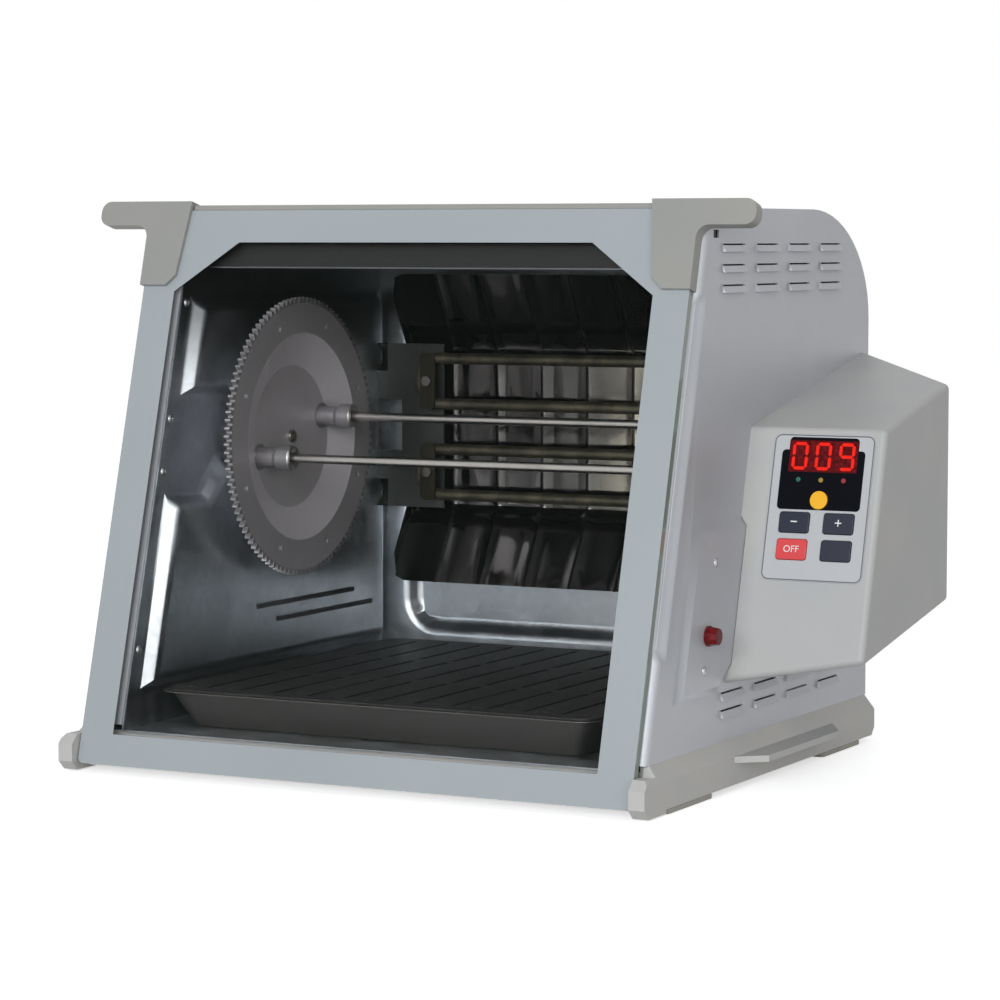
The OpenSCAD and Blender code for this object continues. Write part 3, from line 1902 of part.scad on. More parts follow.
module pilot_lamp_holder() {
    depth = 14;
    holder_wall = 2;
    color(black_plastic)
        placed()
            translate([body_half + pad_h - 3 * sheet_t - depth, lamp_y, lamp_z])
                rotate([0, 90, 0])
                    difference() {
                        cylinder(h = depth + sheet_t, r = lamp_r + holder_wall);
                        translate([0, 0, depth])
                            cylinder(h = sheet_t + cut, r = lamp_r);
                    }
}

// Spring leaf behind the slot near the top of the right side
module door_catch() {
    leaf_t = 0.8;
    leaf_l = 22;
    color(bright_steel)
        placed()
            translate([body_half - sheet_t - gap - leaf_t, catch_y - catch_w / 2, catch_z - catch_h / 2]) {
                cube([leaf_t, leaf_l, catch_h]);
                translate([0, gap, gap])
                    cube([leaf_t + gap + sheet_t / 2, catch_w / 2, catch_h - 2 * gap]);
            }
}

// Door

band_t = 0.3;
window_chamfer_x = 45;
window_chamfer_t = 33;
window_outline = [
    [-door_half + band_side, band_foot], [door_half - band_side, band_foot],
    [door_half - band_side, door_l - band_top - window_chamfer_t],
    [door_half - band_side - window_chamfer_x, door_l - band_top],
    [-door_half + band_side + window_chamfer_x, door_l - band_top],
    [-door_half + band_side, door_l - band_top - window_chamfer_t]
];
glass_corner = 4;

// Bolts through the glass hold each handle: places across and along
handle_bolt_r = 2;
handle_bolt_in = [[16, 14], [14, 38]];
handle_bolts = [for (p = handle_bolt_in) [door_half, door_l] - p];

module glass_outline() {
    translate([0, door_l / 2])
        round_rect(door_w, door_l, glass_corner);
}

module handle_bolt_holes() {
    for (side = [-1, 1])
        for (p = handle_bolts)
            translate([side * p.x, p.y])
                circle(r = handle_bolt_r + fit);
}

module door_glass() {
    color("#9fb5ad", 0.35)
        placed()
            on_door()
                translate([0, 0, -glass_t])
                    linear_extrude(glass_t)
                        difference() {
                            glass_outline();
                            handle_bolt_holes();
                        }
}

module door_band() {
    color(painted_grey)
        placed()
            on_door()
                linear_extrude(band_t)
                    difference() {
                        glass_outline();
                        polygon(window_outline);
                        handle_bolt_holes();
                    }
}

// Handle outline, across and along, anticlockwise from the foot of its leg
handle_front = 3.5;
handle_over = 5.5;
handle_top = door_l + handle_over;
arm_h = 16.5;
arm_r = 7;
elbow_r = 8;
leg_l = 51;
leg_over = 1.5;
leg_top_in = 30.5;
leg_narrow = 5.5;
leg_foot = door_l - leg_l;
leg_out = door_half + leg_over;
leg_in = door_half - leg_top_in;
leg_foot_in = leg_in + leg_narrow;
bolt_cover = 1;
trim_step = 2;
handle_chamfer = 7;
handle_end = door_half + handle_reach;

module handle_outline() {
    difference() {
        polygon([
            [leg_foot_in + handle_chamfer, leg_foot], [leg_out, leg_foot],
            [leg_out, handle_top - arm_h],
            [leg_out + elbow_r, handle_top - arm_h],
            [leg_out + elbow_r, handle_top],
            [leg_in, handle_top], [leg_foot_in, leg_foot + handle_chamfer]
        ]);
        translate([leg_out + elbow_r, handle_top - arm_h - elbow_r])
            circle(r = elbow_r);
    }
    translate([leg_out, handle_top - arm_h])
        difference() {
            square([handle_end - leg_out, arm_h]);
            translate([handle_end - leg_out - arm_r, 0])
                square([arm_r + cut, arm_h]);
        }
    for (t = [arm_r, arm_h - arm_r])
        translate([handle_end - arm_r, handle_top - arm_h + t])
            circle(r = arm_r);
    translate([handle_end - 2 * arm_r, handle_top - arm_h + arm_r])
        square([2 * arm_r, arm_h - 2 * arm_r]);
    difference() {
        translate([leg_out, handle_top - arm_h - elbow_r])
            square(elbow_r);
        translate([leg_out + elbow_r, handle_top - arm_h - elbow_r])
            circle(r = elbow_r);
    }
}

module door_handle() {
    on_door()
        difference() {
            translate([0, 0, -seat + gap])
                linear_extrude(seat - gap + handle_front)
                    handle_outline();
            // Seat of the glass
            translate([0, -cut, -seat])
                cube([door_half + gap, door_l + gap + cut, seat + band_t + fit]);
            for (p = handle_bolts)
                translate([p.x, p.y, 0])
                    cylinder(h = handle_front - bolt_cover, r = handle_bolt_r + fit);
        }
}

module right_door_handle() {
    color(plastic_grey)
        placed()
            door_handle();
}

module left_door_handle() {
    color(plastic_grey)
        placed()
            mirror([1, 0, 0])
                door_handle();
}

module handle_screws() {
    head_h = 0.8;
    color(bright_steel)
        placed()
            on_door()
                both_sides()
                    for (p = handle_bolts)
                        translate([p.x, p.y, -glass_t - head_h]) {
                            cylinder(h = head_h + glass_t + handle_front - 1.5 * bolt_cover,
                                r = handle_bolt_r);
                            cylinder(h = head_h, r = 2 * handle_bolt_r);
                        }
}

module door_top_trim() {
    color(plastic_grey)
        placed()
            on_door()
                translate([-leg_in + gap, door_l + fit, -seat + gap])
                    cube([2 * (leg_in - gap), handle_over - trim_step, seat - gap + band_t]);
}

// Steel rail behind the foot of the glass, with knuckles that hold the hinge pins
rail_t = 1.2;
rail_l = 18;
knuckle_l = 24;
knuckle_r = hinge_pin_r + rail_t;
rail_in = 1;

module door_hinge_rail() {
    half = door_half - rail_in;
    color(bright_steel)
        placed()
            on_door()
                difference() {
                    union() {
                        translate([-half, rail_in, -glass_t - rail_t])
                            cube([2 * half, rail_l, rail_t]);
                        both_sides()
                            translate([half - knuckle_l, hinge_along, hinge_out])
                                rotate([0, 90, 0])
                                    cylinder(h = knuckle_l, r = knuckle_r);
                    }
                    both_sides()
                        translate([half - knuckle_l - cut, hinge_along, hinge_out])
                            rotate([0, 90, 0])
                                cylinder(h = knuckle_l + 2 * cut, r = hinge_pin_r + fit / 2);
                    translate([-half - cut, 0, -glass_t])
                        cube([2 * half + 2 * cut, 2 * rail_l, 2 * knuckle_r]);
                }
}

module door_hinge_pins() {
    color(bright_steel)
        placed()
            both_sides()
                pin_x(door_half - rail_in - knuckle_l, ear_in + hinge_pin_l - gap,
                    hinge_at.x, hinge_at.y, hinge_pin_r);
}

// Drip tray and grate

tray_t = 1;
tray_lip = 4;
tray_corner = 16;
tray_z = floor_z + gap;
tray_mid = tray_y + tray_d / 2;

// Outline of the tray at a distance in from its rim
function tray_outline(d) = moved(
    round_outline(tray_w - 2 * d, tray_d - 2 * d, max(tray_corner - d / 2, 2), corner_steps),
    [0, tray_mid]);

module drip_tray() {
    color("#b5b2a6")
        placed()
            translate([0, 0, tray_z])
                difference() {
                    union() {
                        loft(tray_outline(tray_lip + tray_taper), tray_outline(tray_lip), 0, tray_h);
                        translate([0, tray_mid, tray_h - tray_t])
                            linear_extrude(tray_t)
                                round_rect(tray_w, tray_d, tray_corner);
                    }
                    translate([0, 0, tray_t])
                        loft(tray_outline(tray_lip + tray_taper + tray_t),
                            tray_outline(tray_lip + tray_t), 0, tray_h);
                }
}

grate_t = 1.2;
grate_edge = 2.5;
grate_skirt = 5;
grate_slot_w = 4;
grate_columns = 3;
grate_rib_h = 1;
grate_z = tray_z + tray_h + gap;

module grate() {
    w = tray_w - 2 * grate_edge;
    d = tray_d - 2 * grate_edge;
    skirt_in = tray_lip + tray_t + grate_skirt;
    pitch = (w - 4 * grate_skirt - 2 * tray_lip) / grate_rows;
    slot_l = (d - 8 * grate_skirt) / grate_columns;
    color("#2b2927")
        placed()
            translate([0, tray_mid, grate_z]) {
                difference() {
                    union() {
                        linear_extrude(grate_t)
                            round_rect(w, d, tray_corner - grate_edge);
                        translate([0, 0, -grate_skirt])
                            linear_extrude(grate_skirt)
                                difference() {
                                    round_rect(tray_w - 2 * skirt_in, tray_d - 2 * skirt_in,
                                        tray_corner / 2);
                                    round_rect(tray_w - 2 * skirt_in - 2 * grate_t,
                                        tray_d - 2 * skirt_in - 2 * grate_t, tray_corner / 2 - grate_t);
                                }
                    }
                    for (i = [0 : grate_rows - 1])
                        for (k = [0 : grate_columns - 1])
                            translate([
                                (i - (grate_rows - 1) / 2) * pitch,
                                (k - (grate_columns - 1) / 2) * (slot_l + 2 * grate_slot_w), -cut])
                                linear_extrude(grate_t + 2 * cut)
                                    round_rect(grate_slot_w, slot_l, grate_slot_w / 2);
                }
                // Ribs between the slot rows
                for (i = [0 : grate_rows])
                    translate([(i - grate_rows / 2) * pitch, 0, grate_t])
                        rotate([90, 0, 0])
                            linear_extrude(d - 6 * grate_skirt, center = true)
                                polygon([[-pitch / 4, 0], [pitch / 4, 0], [0, grate_rib_h]]);
            }
}

// Draw the chosen piece

base();
feet();
left_side_panel();
right_side_panel();
wrap_cover();
casing_screws();
left_inner_wall();
right_inner_wall();
wall_screws();
ceiling_panel();
inner_back_wall();
reflector();
floor_pan();
heater_element();
left_heater_bracket();
right_heater_bracket();
heater_clamps();
heater_bolts();
heater_terminals();
thermal_cutout();
left_spit_saddle();
right_spit_saddle();
motor_bracket();
gearmotor();
motor_screws();
control_housing();
control_fascia();
display_window();
led_module();
led_digits();
indicator_lamps();
circuit_board();
board_parts();
board_screws();
housing_screws();
pilot_lamp();
pilot_lamp_holder();
door_catch();
cord_gland();
door_glass();
door_band();
door_top_trim();
left_door_handle();
right_door_handle();
handle_screws();
door_hinge_rail();
door_hinge_pins();
left_gear_wheel();
right_gear_wheel();
spit_rods();
axle_stubs();
drive_pinion();
drive_shaft();
drip_tray();
grate();
minus_button();
plus_button();
off_button();
timer_button();
function_button();
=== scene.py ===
import json
import math
from collections import namedtuple

import bpy
from mathutils import Matrix, Vector

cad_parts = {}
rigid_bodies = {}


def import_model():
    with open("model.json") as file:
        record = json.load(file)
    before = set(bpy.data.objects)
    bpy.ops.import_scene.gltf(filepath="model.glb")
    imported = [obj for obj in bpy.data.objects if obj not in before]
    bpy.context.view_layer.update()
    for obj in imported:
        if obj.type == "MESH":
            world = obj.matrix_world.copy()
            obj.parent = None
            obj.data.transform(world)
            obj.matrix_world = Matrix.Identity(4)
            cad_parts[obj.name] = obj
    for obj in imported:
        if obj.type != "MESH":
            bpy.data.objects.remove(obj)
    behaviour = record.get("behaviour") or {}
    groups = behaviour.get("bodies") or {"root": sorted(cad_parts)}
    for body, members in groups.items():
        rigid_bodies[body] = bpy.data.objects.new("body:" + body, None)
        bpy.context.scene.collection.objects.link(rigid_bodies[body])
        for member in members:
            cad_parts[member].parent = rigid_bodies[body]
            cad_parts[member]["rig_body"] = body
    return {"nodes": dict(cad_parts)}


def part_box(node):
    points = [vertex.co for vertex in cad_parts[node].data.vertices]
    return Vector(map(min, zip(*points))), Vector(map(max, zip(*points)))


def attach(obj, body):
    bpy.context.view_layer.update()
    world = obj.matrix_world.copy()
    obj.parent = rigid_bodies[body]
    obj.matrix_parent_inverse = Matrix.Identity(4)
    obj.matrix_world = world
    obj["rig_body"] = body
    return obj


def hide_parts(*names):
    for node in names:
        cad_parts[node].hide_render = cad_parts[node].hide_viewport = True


bl_info = {
    "name": "Countertop rotisserie oven finish",
    "version": (1, 0, 0),
    "blender": (4, 5, 0),
    "location": "3D View > Sidebar > Oven",
    "description": "Finishes the pieces of a countertop rotisserie oven and lights it",
    "category": "Object",
}

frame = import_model()

# Sizes of the oven that the finishes follow, in metres

MM = 0.001

# Distances within which vertices are merged, a place touches a step, and a place still counts to
# a strip or to a key's face
MERGE = 0.005 * MM
TOUCH = 0.01 * MM
SLACK = 0.05 * MM
FACE_SLACK = 0.2 * MM

glass_low, glass_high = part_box("door_glass")
axle_low, axle_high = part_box("axle_stubs")
left_wheel_low, left_wheel_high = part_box("left_gear_wheel")
right_wheel_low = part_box("right_gear_wheel")[0]
base_low, base_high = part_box("base")
cover_low, cover_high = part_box("wrap_cover")

# The door's lean, and the glass that gives the plane of its front
LEAN = math.radians(15)
UPWARD = Vector((0, math.sin(LEAN), math.cos(LEAN)))
OUTWARD = Vector((0, -math.cos(LEAN), math.sin(LEAN)))
GLASS_DEPTH = 5 * MM
DOOR_FOOT = Vector((0, glass_low.y, glass_low.z + GLASS_DEPTH * math.sin(LEAN)))
DOOR_MIDDLE = (glass_low.x + glass_high.x) / 2

# The spit: its axis, the wheels and the places of the rods' sockets on them
HUB = (axle_low + axle_high) / 2
WHEEL_RADIUS = (left_wheel_high.y - left_wheel_low.y) / 2
SOCKET_REACH = 42.5 * MM
SOCKET_TURN = math.radians(16.5)
SOCKET_RADIUS = (8.7 * MM, 9.2 * MM)

# The side panels' seat behind the glass and half their width outside
SHEET = 1 * MM
SEAT = GLASS_DEPTH + 1.3 * MM
BODY_HALF = (cover_high.x - cover_low.x) / 2 + SHEET + 0.3 * MM

# The step in a side panel's front edge: how far in it goes, where it turns out again behind the
# front, the heights of its ends, how far its soft form fades beyond them and in how many cuts
JOG = 3 * MM
JOG_BEHIND = 7 * MM
JOG_HEIGHTS = (98 * MM, 303 * MM)
JOG_FADE = 8 * MM
FADE_STEPS = 4

# The soft bead made of it: where it begins to go out behind the front and over what length, and
# the depth of sheet that goes with it whole, with the depth over which that ends
BEAD_START = 3 * MM
BEAD_LENGTH = 9 * MM
BEAD_SKIN = 1.2 * MM
BEAD_DEPTH = 7 * MM
BEAD_CUTS = (6 * MM, 7.5 * MM, 9 * MM, 10.5 * MM, 12 * MM)

# The edge's roll: its radius, the degrees at which it is cut, and the strip that is cut
ROLL = 4.5 * MM
ROLL_TURNS = (33.75, 22.5, 11.25, 0)
STRIP_INWARD = 9 * MM
STRIP_BEHIND = 14 * MM

# The wedges that close the pockets over the base's carrying ledges: the ledge's reach, the pocket's
# length, rise, foot and middle, and how far the wedge's foot, top and back lie from the ledge's root
LEDGE_REACH = 17 * MM
POCKET_LENGTH = 136 * MM
POCKET_RISE = 6.2 * MM
POCKET_FOOT = 21.2 * MM
POCKET_MIDDLE = 21.5 * MM
POCKET_LIP = 0.1 * MM
POCKET_SLOPE = 4.85 * MM
POCKET_BACK = 7 * MM

# The bends of the pressed liner: the least and the greatest angle in degrees, the shortest edge
# that counts and the faces that round it
CREASE_ANGLES = (16, 75)
CREASE_SHORTEST = 5 * MM
PRESS_SEGMENTS = 5

# The radius of the fascia film's corners, and the thickness and curve steps of the printed signs
FILM_ROUND = 5 * MM
INK_DEPTH = 0.04 * MM
INK_STEPS = 6

# Angles in degrees: triangles joined below the first, edges rounded above the second, and faces
# shaded as one up to the last two, on rounded pieces and on plain ones
JOIN_ANGLE = 0.5
ROUND_ANGLE = 30
SMOOTH_ROUNDED = 35
SMOOTH_PLAIN = 18

# How strongly large faces level the shading of their neighbours
LEVEL_WEIGHT = 80


def face_place(across, along, out):
    """Place on a plane that leans as the door does: across, up the slope and out of the door's face."""
    return Vector((across, DOOR_FOOT.y, DOOR_FOOT.z)) + along * UPWARD + out * OUTWARD


def along_face(place):
    """How far up the slope a place lies, from the door's foot, for a vector or a shader's axes."""
    return (place.y - DOOR_FOOT.y) * math.sin(LEAN) + (place.z - DOOR_FOOT.z) * math.cos(LEAN)


def out_of_face(place):
    """How far a place stands out of the door's face, for a vector or a shader's axes."""
    return (place.z - DOOR_FOOT.z) * math.sin(LEAN) - (place.y - DOOR_FOOT.y) * math.cos(LEAN)


def key_face(node):
    """Middle of a key's front face, with the key's width and height up the slope."""
    points = [vertex.co for vertex in frame["nodes"][node].data.vertices]
    front = max(out_of_face(point) for point in points)
    top = [point for point in points if out_of_face(point) > front - FACE_SLACK]
    low = min(along_face(point) for point in top)
    high = max(along_face(point) for point in top)
    left = min(point.x for point in top)
    right = max(point.x for point in top)
    return face_place((left + right) / 2, (low + high) / 2, front), right - left, high - low


DOOR_LENGTH = along_face(glass_high)


# Shader expressions


Axes = namedtuple("Axes", "x y z")


class Field:
    """A socket of a shader that can stand in a Python expression."""

    def __init__(self, wiring, socket):
        self.wiring = wiring
        self.socket = socket

    def math(self, operation, *others):
        """This field and others put through a maths node."""
        return self.wiring.add("ShaderNodeMath", {"operation": operation}, (self,) + others)

    def __add__(self, other):
        return self.math("ADD", other)

    __radd__ = __add__

    def __mul__(self, other):
        return self.math("MULTIPLY", other)

    def __sub__(self, other):
        return self.math("SUBTRACT", other)

    def __rsub__(self, other):
        return self.wiring.add("ShaderNodeMath", {"operation": "SUBTRACT"}, (other, self))

    def __abs__(self):
        return self.math("ABSOLUTE")

    def rise(self, low, high):
        """Goes smoothly from 0 to 1 as the value goes from low to high."""
        settings = {"interpolation_type": "SMOOTHSTEP", "clamp": True}
        values = {"Value": self, "From Min": low, "From Max": high}
        return self.wiring.add("ShaderNodeMapRange", settings, values)

    def least(self, other):
        return self.math("MINIMUM", other)

    def most(self, other):
        return self.math("MAXIMUM", other)


class Wiring:
    """A tree of shader nodes under construction."""

    def __init__(self, tree, shader):
        self.tree = tree
        self.shader = tree.nodes[shader]

    def add(self, kind, settings, values, output=0):
        """Adds a node, makes its settings, fills its sockets and returns one of its outputs."""
        node = self.tree.nodes.new(kind)
        for name, value in settings.items():
            setattr(node, name, value)
        pairs = values.items() if isinstance(values, dict) else enumerate(values)
        for key, value in pairs:
            socket = node.inputs[key]
            if isinstance(value, Field):
                self.tree.links.new(value.socket, socket)
            else:
                socket.default_value = value
        return Field(self, node.outputs[output])

    def entry(self, name):
        """The shader's input of that name, whose blanks are written as underscores."""
        return self.shader.inputs[name.replace("_", " ")]

    def feed(self, **links):
        """Leads a field into each of the shader's inputs that is named."""
        for name, value in links.items():
            self.tree.links.new(value.socket, self.entry(name))
        return self

    def seen(self):
        """Is 1 for the rays that show the background, in the picture, in metal and in glass."""
        camera = self.add("ShaderNodeLightPath", {}, (), "Is Camera Ray")
        outputs = camera.socket.node.outputs
        glossy = Field(self, outputs["Is Glossy Ray"])
        return camera.most(glossy).most(Field(self, outputs["Is Transmission Ray"]))


class Finish(Wiring):
    """A material under construction."""

    def __init__(self, name, **constants):
        self.material = bpy.data.materials.new(name)
        self.material.use_nodes = True
        super().__init__(self.material.node_tree, "Principled BSDF")
        for input_name, value in constants.items():
            self.entry(input_name).default_value = value
        self.place = None

    def at(self):
        """The place on the piece."""
        if self.place is None:
            self.place = self.add("ShaderNodeTexCoord", {}, (), "Object")
        return self.place

    def axes(self):
        """X, Y and Z of the place."""
        split = self.add("ShaderNodeSeparateXYZ", {}, (self.at(),))
        outputs = split.socket.node.outputs
        return Axes(*[Field(self, outputs[index]) for index in range(3)])

    def stretched(self, scale, turn=(0, 0, 0)):
        """The place, turned and scaled along its axes."""
        return self.add("ShaderNodeMapping", {}, {"Vector": self.at(), "Rotation": turn, "Scale": scale})

    def noise(self, scale, detail=2.0, roughness=0.5, distortion=0.0, vector=None):
        """Cloudy noise from 0 to 1."""
        values = {
            "Vector": vector or self.at(),
            "Scale": scale,
            "Detail": detail,
            "Roughness": roughness,
            "Distortion": distortion,
        }
        return self.add("ShaderNodeTexNoise", {}, values)

    def cells(self, scale, output="Color", randomness=1.0):
        """Cells of their own colours, or the distance from their middles."""
        values = {"Vector": self.at(), "Scale": scale, "Randomness": randomness}
        return self.add("ShaderNodeTexVoronoi", {}, values, output)

    def mix(self, factor, low, high):
        """A colour between low and high."""
        node = self.add("ShaderNodeMix", {"data_type": "RGBA"}, {"Factor": factor}).socket.node
        inputs = [socket for socket in node.inputs if socket.type == "RGBA"]
        for socket, value in zip(inputs, (low, high)):
            if isinstance(value, Field):
                self.tree.links.new(value.socket, socket)
            else:
                socket.default_value = (*value[:3], 1)
        output = [socket for socket in node.outputs if socket.type == "RGBA"][0]
        return Field(self, output)

    def bump(self, height, depth):
        """Raises the surface by up to depth, in metres."""
        values = {"Height": height, "Distance": depth, "Strength": 1.0}
        return self.feed(Normal=self.add("ShaderNodeBump", {}, values))


def tint(colour, share):
    """A colour made lighter or darker by a share."""
    return tuple(min(1.0, part * share) for part in colour[:3])


def sheet_paint(name, colour, black=None):
    """Silver grey paint on sheet steel, with a fine peel and faint clouds. The flange behind the
    window's top can take a black of painted shade, which stands in for the shaded gap behind it."""
    finish = Finish(name, Metallic=0.2, IOR=1.4)
    clouds = finish.noise(7, 3, 0.55)
    peel = finish.noise(520, 2, 0.6)
    speck = finish.noise(2600, 1)
    tone = finish.mix(clouds.rise(0.3, 0.7) * 0.7 + speck * 0.3, tint(colour, 0.93), tint(colour, 1.06))
    # Painted shade: the flange behind the window's top is made black, standing in for the shaded gap behind
    # it.
    if black:
        place = finish.axes()
        under = 1 - place.z.rise(cover_high.z - 4 * MM, cover_high.z - 3 * MM)
        within = 1 - abs(place.x - DOOR_MIDDLE).rise(160 * MM, 161 * MM)
        flange = out_of_face(place).rise(-26 * MM, -25 * MM) * within * under
        tone = finish.mix(flange, tone, black)
    finish.feed(Base_Color=tone, Roughness=0.39 + clouds * 0.1)
    return finish.bump(peel, 0.00010).material


def moulded(name, colour, roughness=0.48, grain=1500, **constants):
    """Moulded plastic with a fine eroded grain and a slightly uneven tone."""
    finish = Finish(name, **{"IOR": 1.46, **constants})
    clouds = finish.noise(11, 2, 0.5)
    texture = finish.noise(grain, 3, 0.6)
    warm = (colour[0] * 1.02, colour[1] * 0.995, colour[2] * 0.95)
    finish.feed(
        Base_Color=finish.mix(clouds.rise(0.3, 0.75), tint(colour, 0.96), tint(warm, 1.04)),
        Roughness=roughness - 0.05 + texture * 0.1,
    )
    return finish.bump(texture, 0.00006).material


def aluminised(name, colour):
    """Aluminised liner sheet: soft spangles, streaks and smears, darker towards the bottom, and darkened
    near the top by painted shade.
    """
    finish = Finish(name, Metallic=1.0)
    height = finish.axes().z
    # Darker towards the bottom.
    darker_low = (1 - height.rise(60 * MM, 125 * MM)) * 0.32
    # Painted shade: darker towards the top of the cavity, standing in for the shade there, joined with the
    # darkening towards the bottom.
    top_shade_and_darker_low = (height.rise(HUB.z + 20 * MM, HUB.z + 100 * MM) * 0.86).most(darker_low)
    cell = finish.cells(170)
    tone = finish.add("ShaderNodeRGBToBW", {}, (cell,))
    streak = finish.noise(1, 3, 0.6, vector=finish.stretched((14, 14, 420)))
    smear = finish.noise(16, 4, 0.62, 0.6)
    mark = finish.noise(55, 5, 0.7)
    shade = tone * 0.4 + streak * 0.3 + smear.rise(0.35, 0.7) * 0.3
    clean = finish.mix(shade, tint(colour, 0.82), tint(colour, 1.12))
    finish.feed(
        Base_Color=finish.mix(top_shade_and_darker_low, clean, tint(colour, 0.10)),
        Roughness=0.25 + smear * 0.12 + mark.rise(0.45, 0.62) * 0.12,
    )
    return finish.bump(tone * 0.4 + mark * 0.6, 0.00015).material


def mirror_sheet(name, colour):
    """Polished sheet with slight dents and grease haze, a painted warm reflection beside the heater on the
    right, and painted shade that darkens its upper part.
    """
    finish = Finish(name, Metallic=1.0)
    haze = finish.noise(24, 4, 0.65, 0.8)
    dents = finish.noise(30, 1)
    place = finish.axes()
    # Painted reflection: a warm bright patch beside the heater on the right, standing in for light reflected
    # in the polished sheet.
    beside_heater = 1 - abs(place.z - HUB.z).rise(38 * MM, 72 * MM)
    right_part = (place.x - HUB.x).rise(-10 * MM, 60 * MM) * 0.98
    bright = beside_heater * (0.02 + right_part)
    warm = (colour[0] * 0.95, colour[1] * 0.90, colour[2] * 0.74)
    # Painted shade: the sheet is darker in its upper part.
    above = place.z.rise(HUB.z - 70 * MM, HUB.z - 50 * MM)
    dull = finish.mix(above, tint(colour, 0.40), tint(colour, 0.20))
    finish.feed(
        Base_Color=finish.mix(bright * (1 - haze.rise(0.42, 0.6) * 0.6), dull, warm),
        Roughness=0.07 + haze.rise(0.42, 0.75) * 0.16,
    )
    return finish.bump(dents, 0.0006).material


def heater_skin(name, colour):
    """Oxidised heater sheath, olive brown with paler wear."""
    finish = Finish(name, Metallic=0.65)
    patches = finish.noise(70, 4, 0.6)
    grain = finish.noise(900, 2)
    finish.feed(
        Base_Color=finish.mix(patches.rise(0.35, 0.7), tint(colour, 0.7), tint(colour, 1.6)),
        Roughness=0.38 + grain * 0.2,
    )
    return finish.bump(grain, 0.00008).material


def bare_steel(name, colour, roughness=0.3):
    """Plain or plated steel with a fine grain and dull patches."""
    finish = Finish(name, Metallic=1.0)
    patches = finish.noise(60, 3, 0.6)
    grain = finish.noise(1500, 2)
    finish.feed(
        Base_Color=finish.mix(patches, tint(colour, 0.85), tint(colour, 1.1)),
        Roughness=roughness - 0.06 + patches * 0.12,
    )
    return finish.bump(grain, 0.00004).material


def drawn_rod(name, colour):
    """Drawn steel rod with fine turning marks round it."""
    finish = Finish(name, Metallic=1.0)
    rings = finish.noise(1, 2, 0.6, vector=finish.stretched((2400, 60, 60)))
    stain = finish.noise(35, 4, 0.6)
    finish.feed(
        Base_Color=finish.mix(stain.rise(0.45, 0.75) * 0.5, colour, tint(colour, 0.62)),
        Roughness=0.24 + rings * 0.14,
    )
    return finish.bump(rings, 0.00003).material


def wheel_coating(name, colour):
    """Non-stick coated gear wheel whose tooth tips and rim are worn to bright metal. A painted sheen makes
    the cone lighter, and painted shade darkens the rod sockets and the toothed rim.
    """
    finish = Finish(name)
    place = finish.axes()
    across = place.y - HUB.y
    up = place.z - HUB.z
    radius = (across * across + up * up).math("SQRT")
    angle = up.math("ARCTAN2", across)
    grain = finish.noise(1300, 3, 0.6)
    patches = finish.noise(45, 4, 0.62)
    rings = finish.add("ShaderNodeCombineXYZ", {}, (radius * 900, angle * 2.0, 0.0))
    turned = finish.noise(1, 2, 0.5, vector=rings)
    worn = radius.rise(WHEEL_RADIUS - 1.4 * MM, WHEEL_RADIUS - 0.2 * MM) * 0.7
    inside = 1 - radius.rise(0.735 * WHEEL_RADIUS, 0.75 * WHEEL_RADIUS)
    cone = inside * radius.rise(0.50 * WHEEL_RADIUS, 0.52 * WHEEL_RADIUS)
    scuffs = patches.rise(0.60, 0.74) * 0.35
    bare = worn.most(scuffs * turned.rise(0.45, 0.7))
    coat = finish.mix(patches * 0.6 + turned * 0.4, tint(colour, 0.86), tint(colour, 1.14))
    pressed = finish.mix(patches * 0.7 + grain * 0.3, tint(colour, 1.1), tint(colour, 1.45))
    # Painted sheen: the cone's lighter tone stands in for the sheen that its metal reflects.
    polished = finish.mix(patches * 0.5 + grain * 0.5, tint(colour, 1.5), tint(colour, 1.85))
    tone = finish.mix(cone, finish.mix(inside, coat, pressed), polished)
    # Painted shade: the rod sockets and the toothed rim are darker, standing in for the shade in the sockets
    # and on the tooth flanks.
    beside = abs(across * math.cos(SOCKET_TURN) + up * math.sin(SOCKET_TURN)) - SOCKET_REACH
    over = up * math.cos(SOCKET_TURN) - across * math.sin(SOCKET_TURN)
    socket = 1 - (beside * beside + over * over).math("SQRT").rise(*SOCKET_RADIUS)
    left_mouth = place.x.rise(left_wheel_high.x - 1.5 * MM, left_wheel_high.x - 1.0 * MM)
    right_mouth = 1 - place.x.rise(right_wheel_low.x + 1.0 * MM, right_wheel_low.x + 1.5 * MM)
    lip = left_mouth * right_mouth
    toothed = radius.rise(WHEEL_RADIUS - 4.5 * MM, WHEEL_RADIUS - 3.5 * MM)
    tone = finish.mix(socket.most(toothed), tone, tint(colour, 0.62))
    bright = bare.most(lip * 0.9)
    drops = finish.noise(210, 2, 0.5) * inside * (1 - cone)
    finish.feed(
        Base_Color=finish.mix(bright, tone, (0.50, 0.49, 0.475)),
        Metallic=0.55 + bright * 0.4,
        Roughness=0.42 + grain * 0.1 - bright * 0.16,
    )
    return finish.bump(grain * 0.35 + turned * 0.1 + drops * 1.6, 0.00022).material


def tray_metal(name, colour):
    """Brushed drip tray with warm tones and dark baked-on stains."""
    finish = Finish(name, Metallic=0.9)
    brushed = finish.noise(1, 2, 0.6, vector=finish.stretched((12, 12, 1600)))
    stains = finish.noise(28, 5, 0.65, 0.5)
    tone = finish.mix(brushed * 0.5 + stains * 0.5, tint(colour, 0.8), tint(colour, 1.15))
    finish.feed(
        Base_Color=finish.mix(stains.rise(0.56, 0.75) * 0.5, tone, (0.20, 0.15, 0.10)),
        Roughness=0.34 + brushed * 0.14,
    )
    return finish.bump(brushed, 0.00004).material


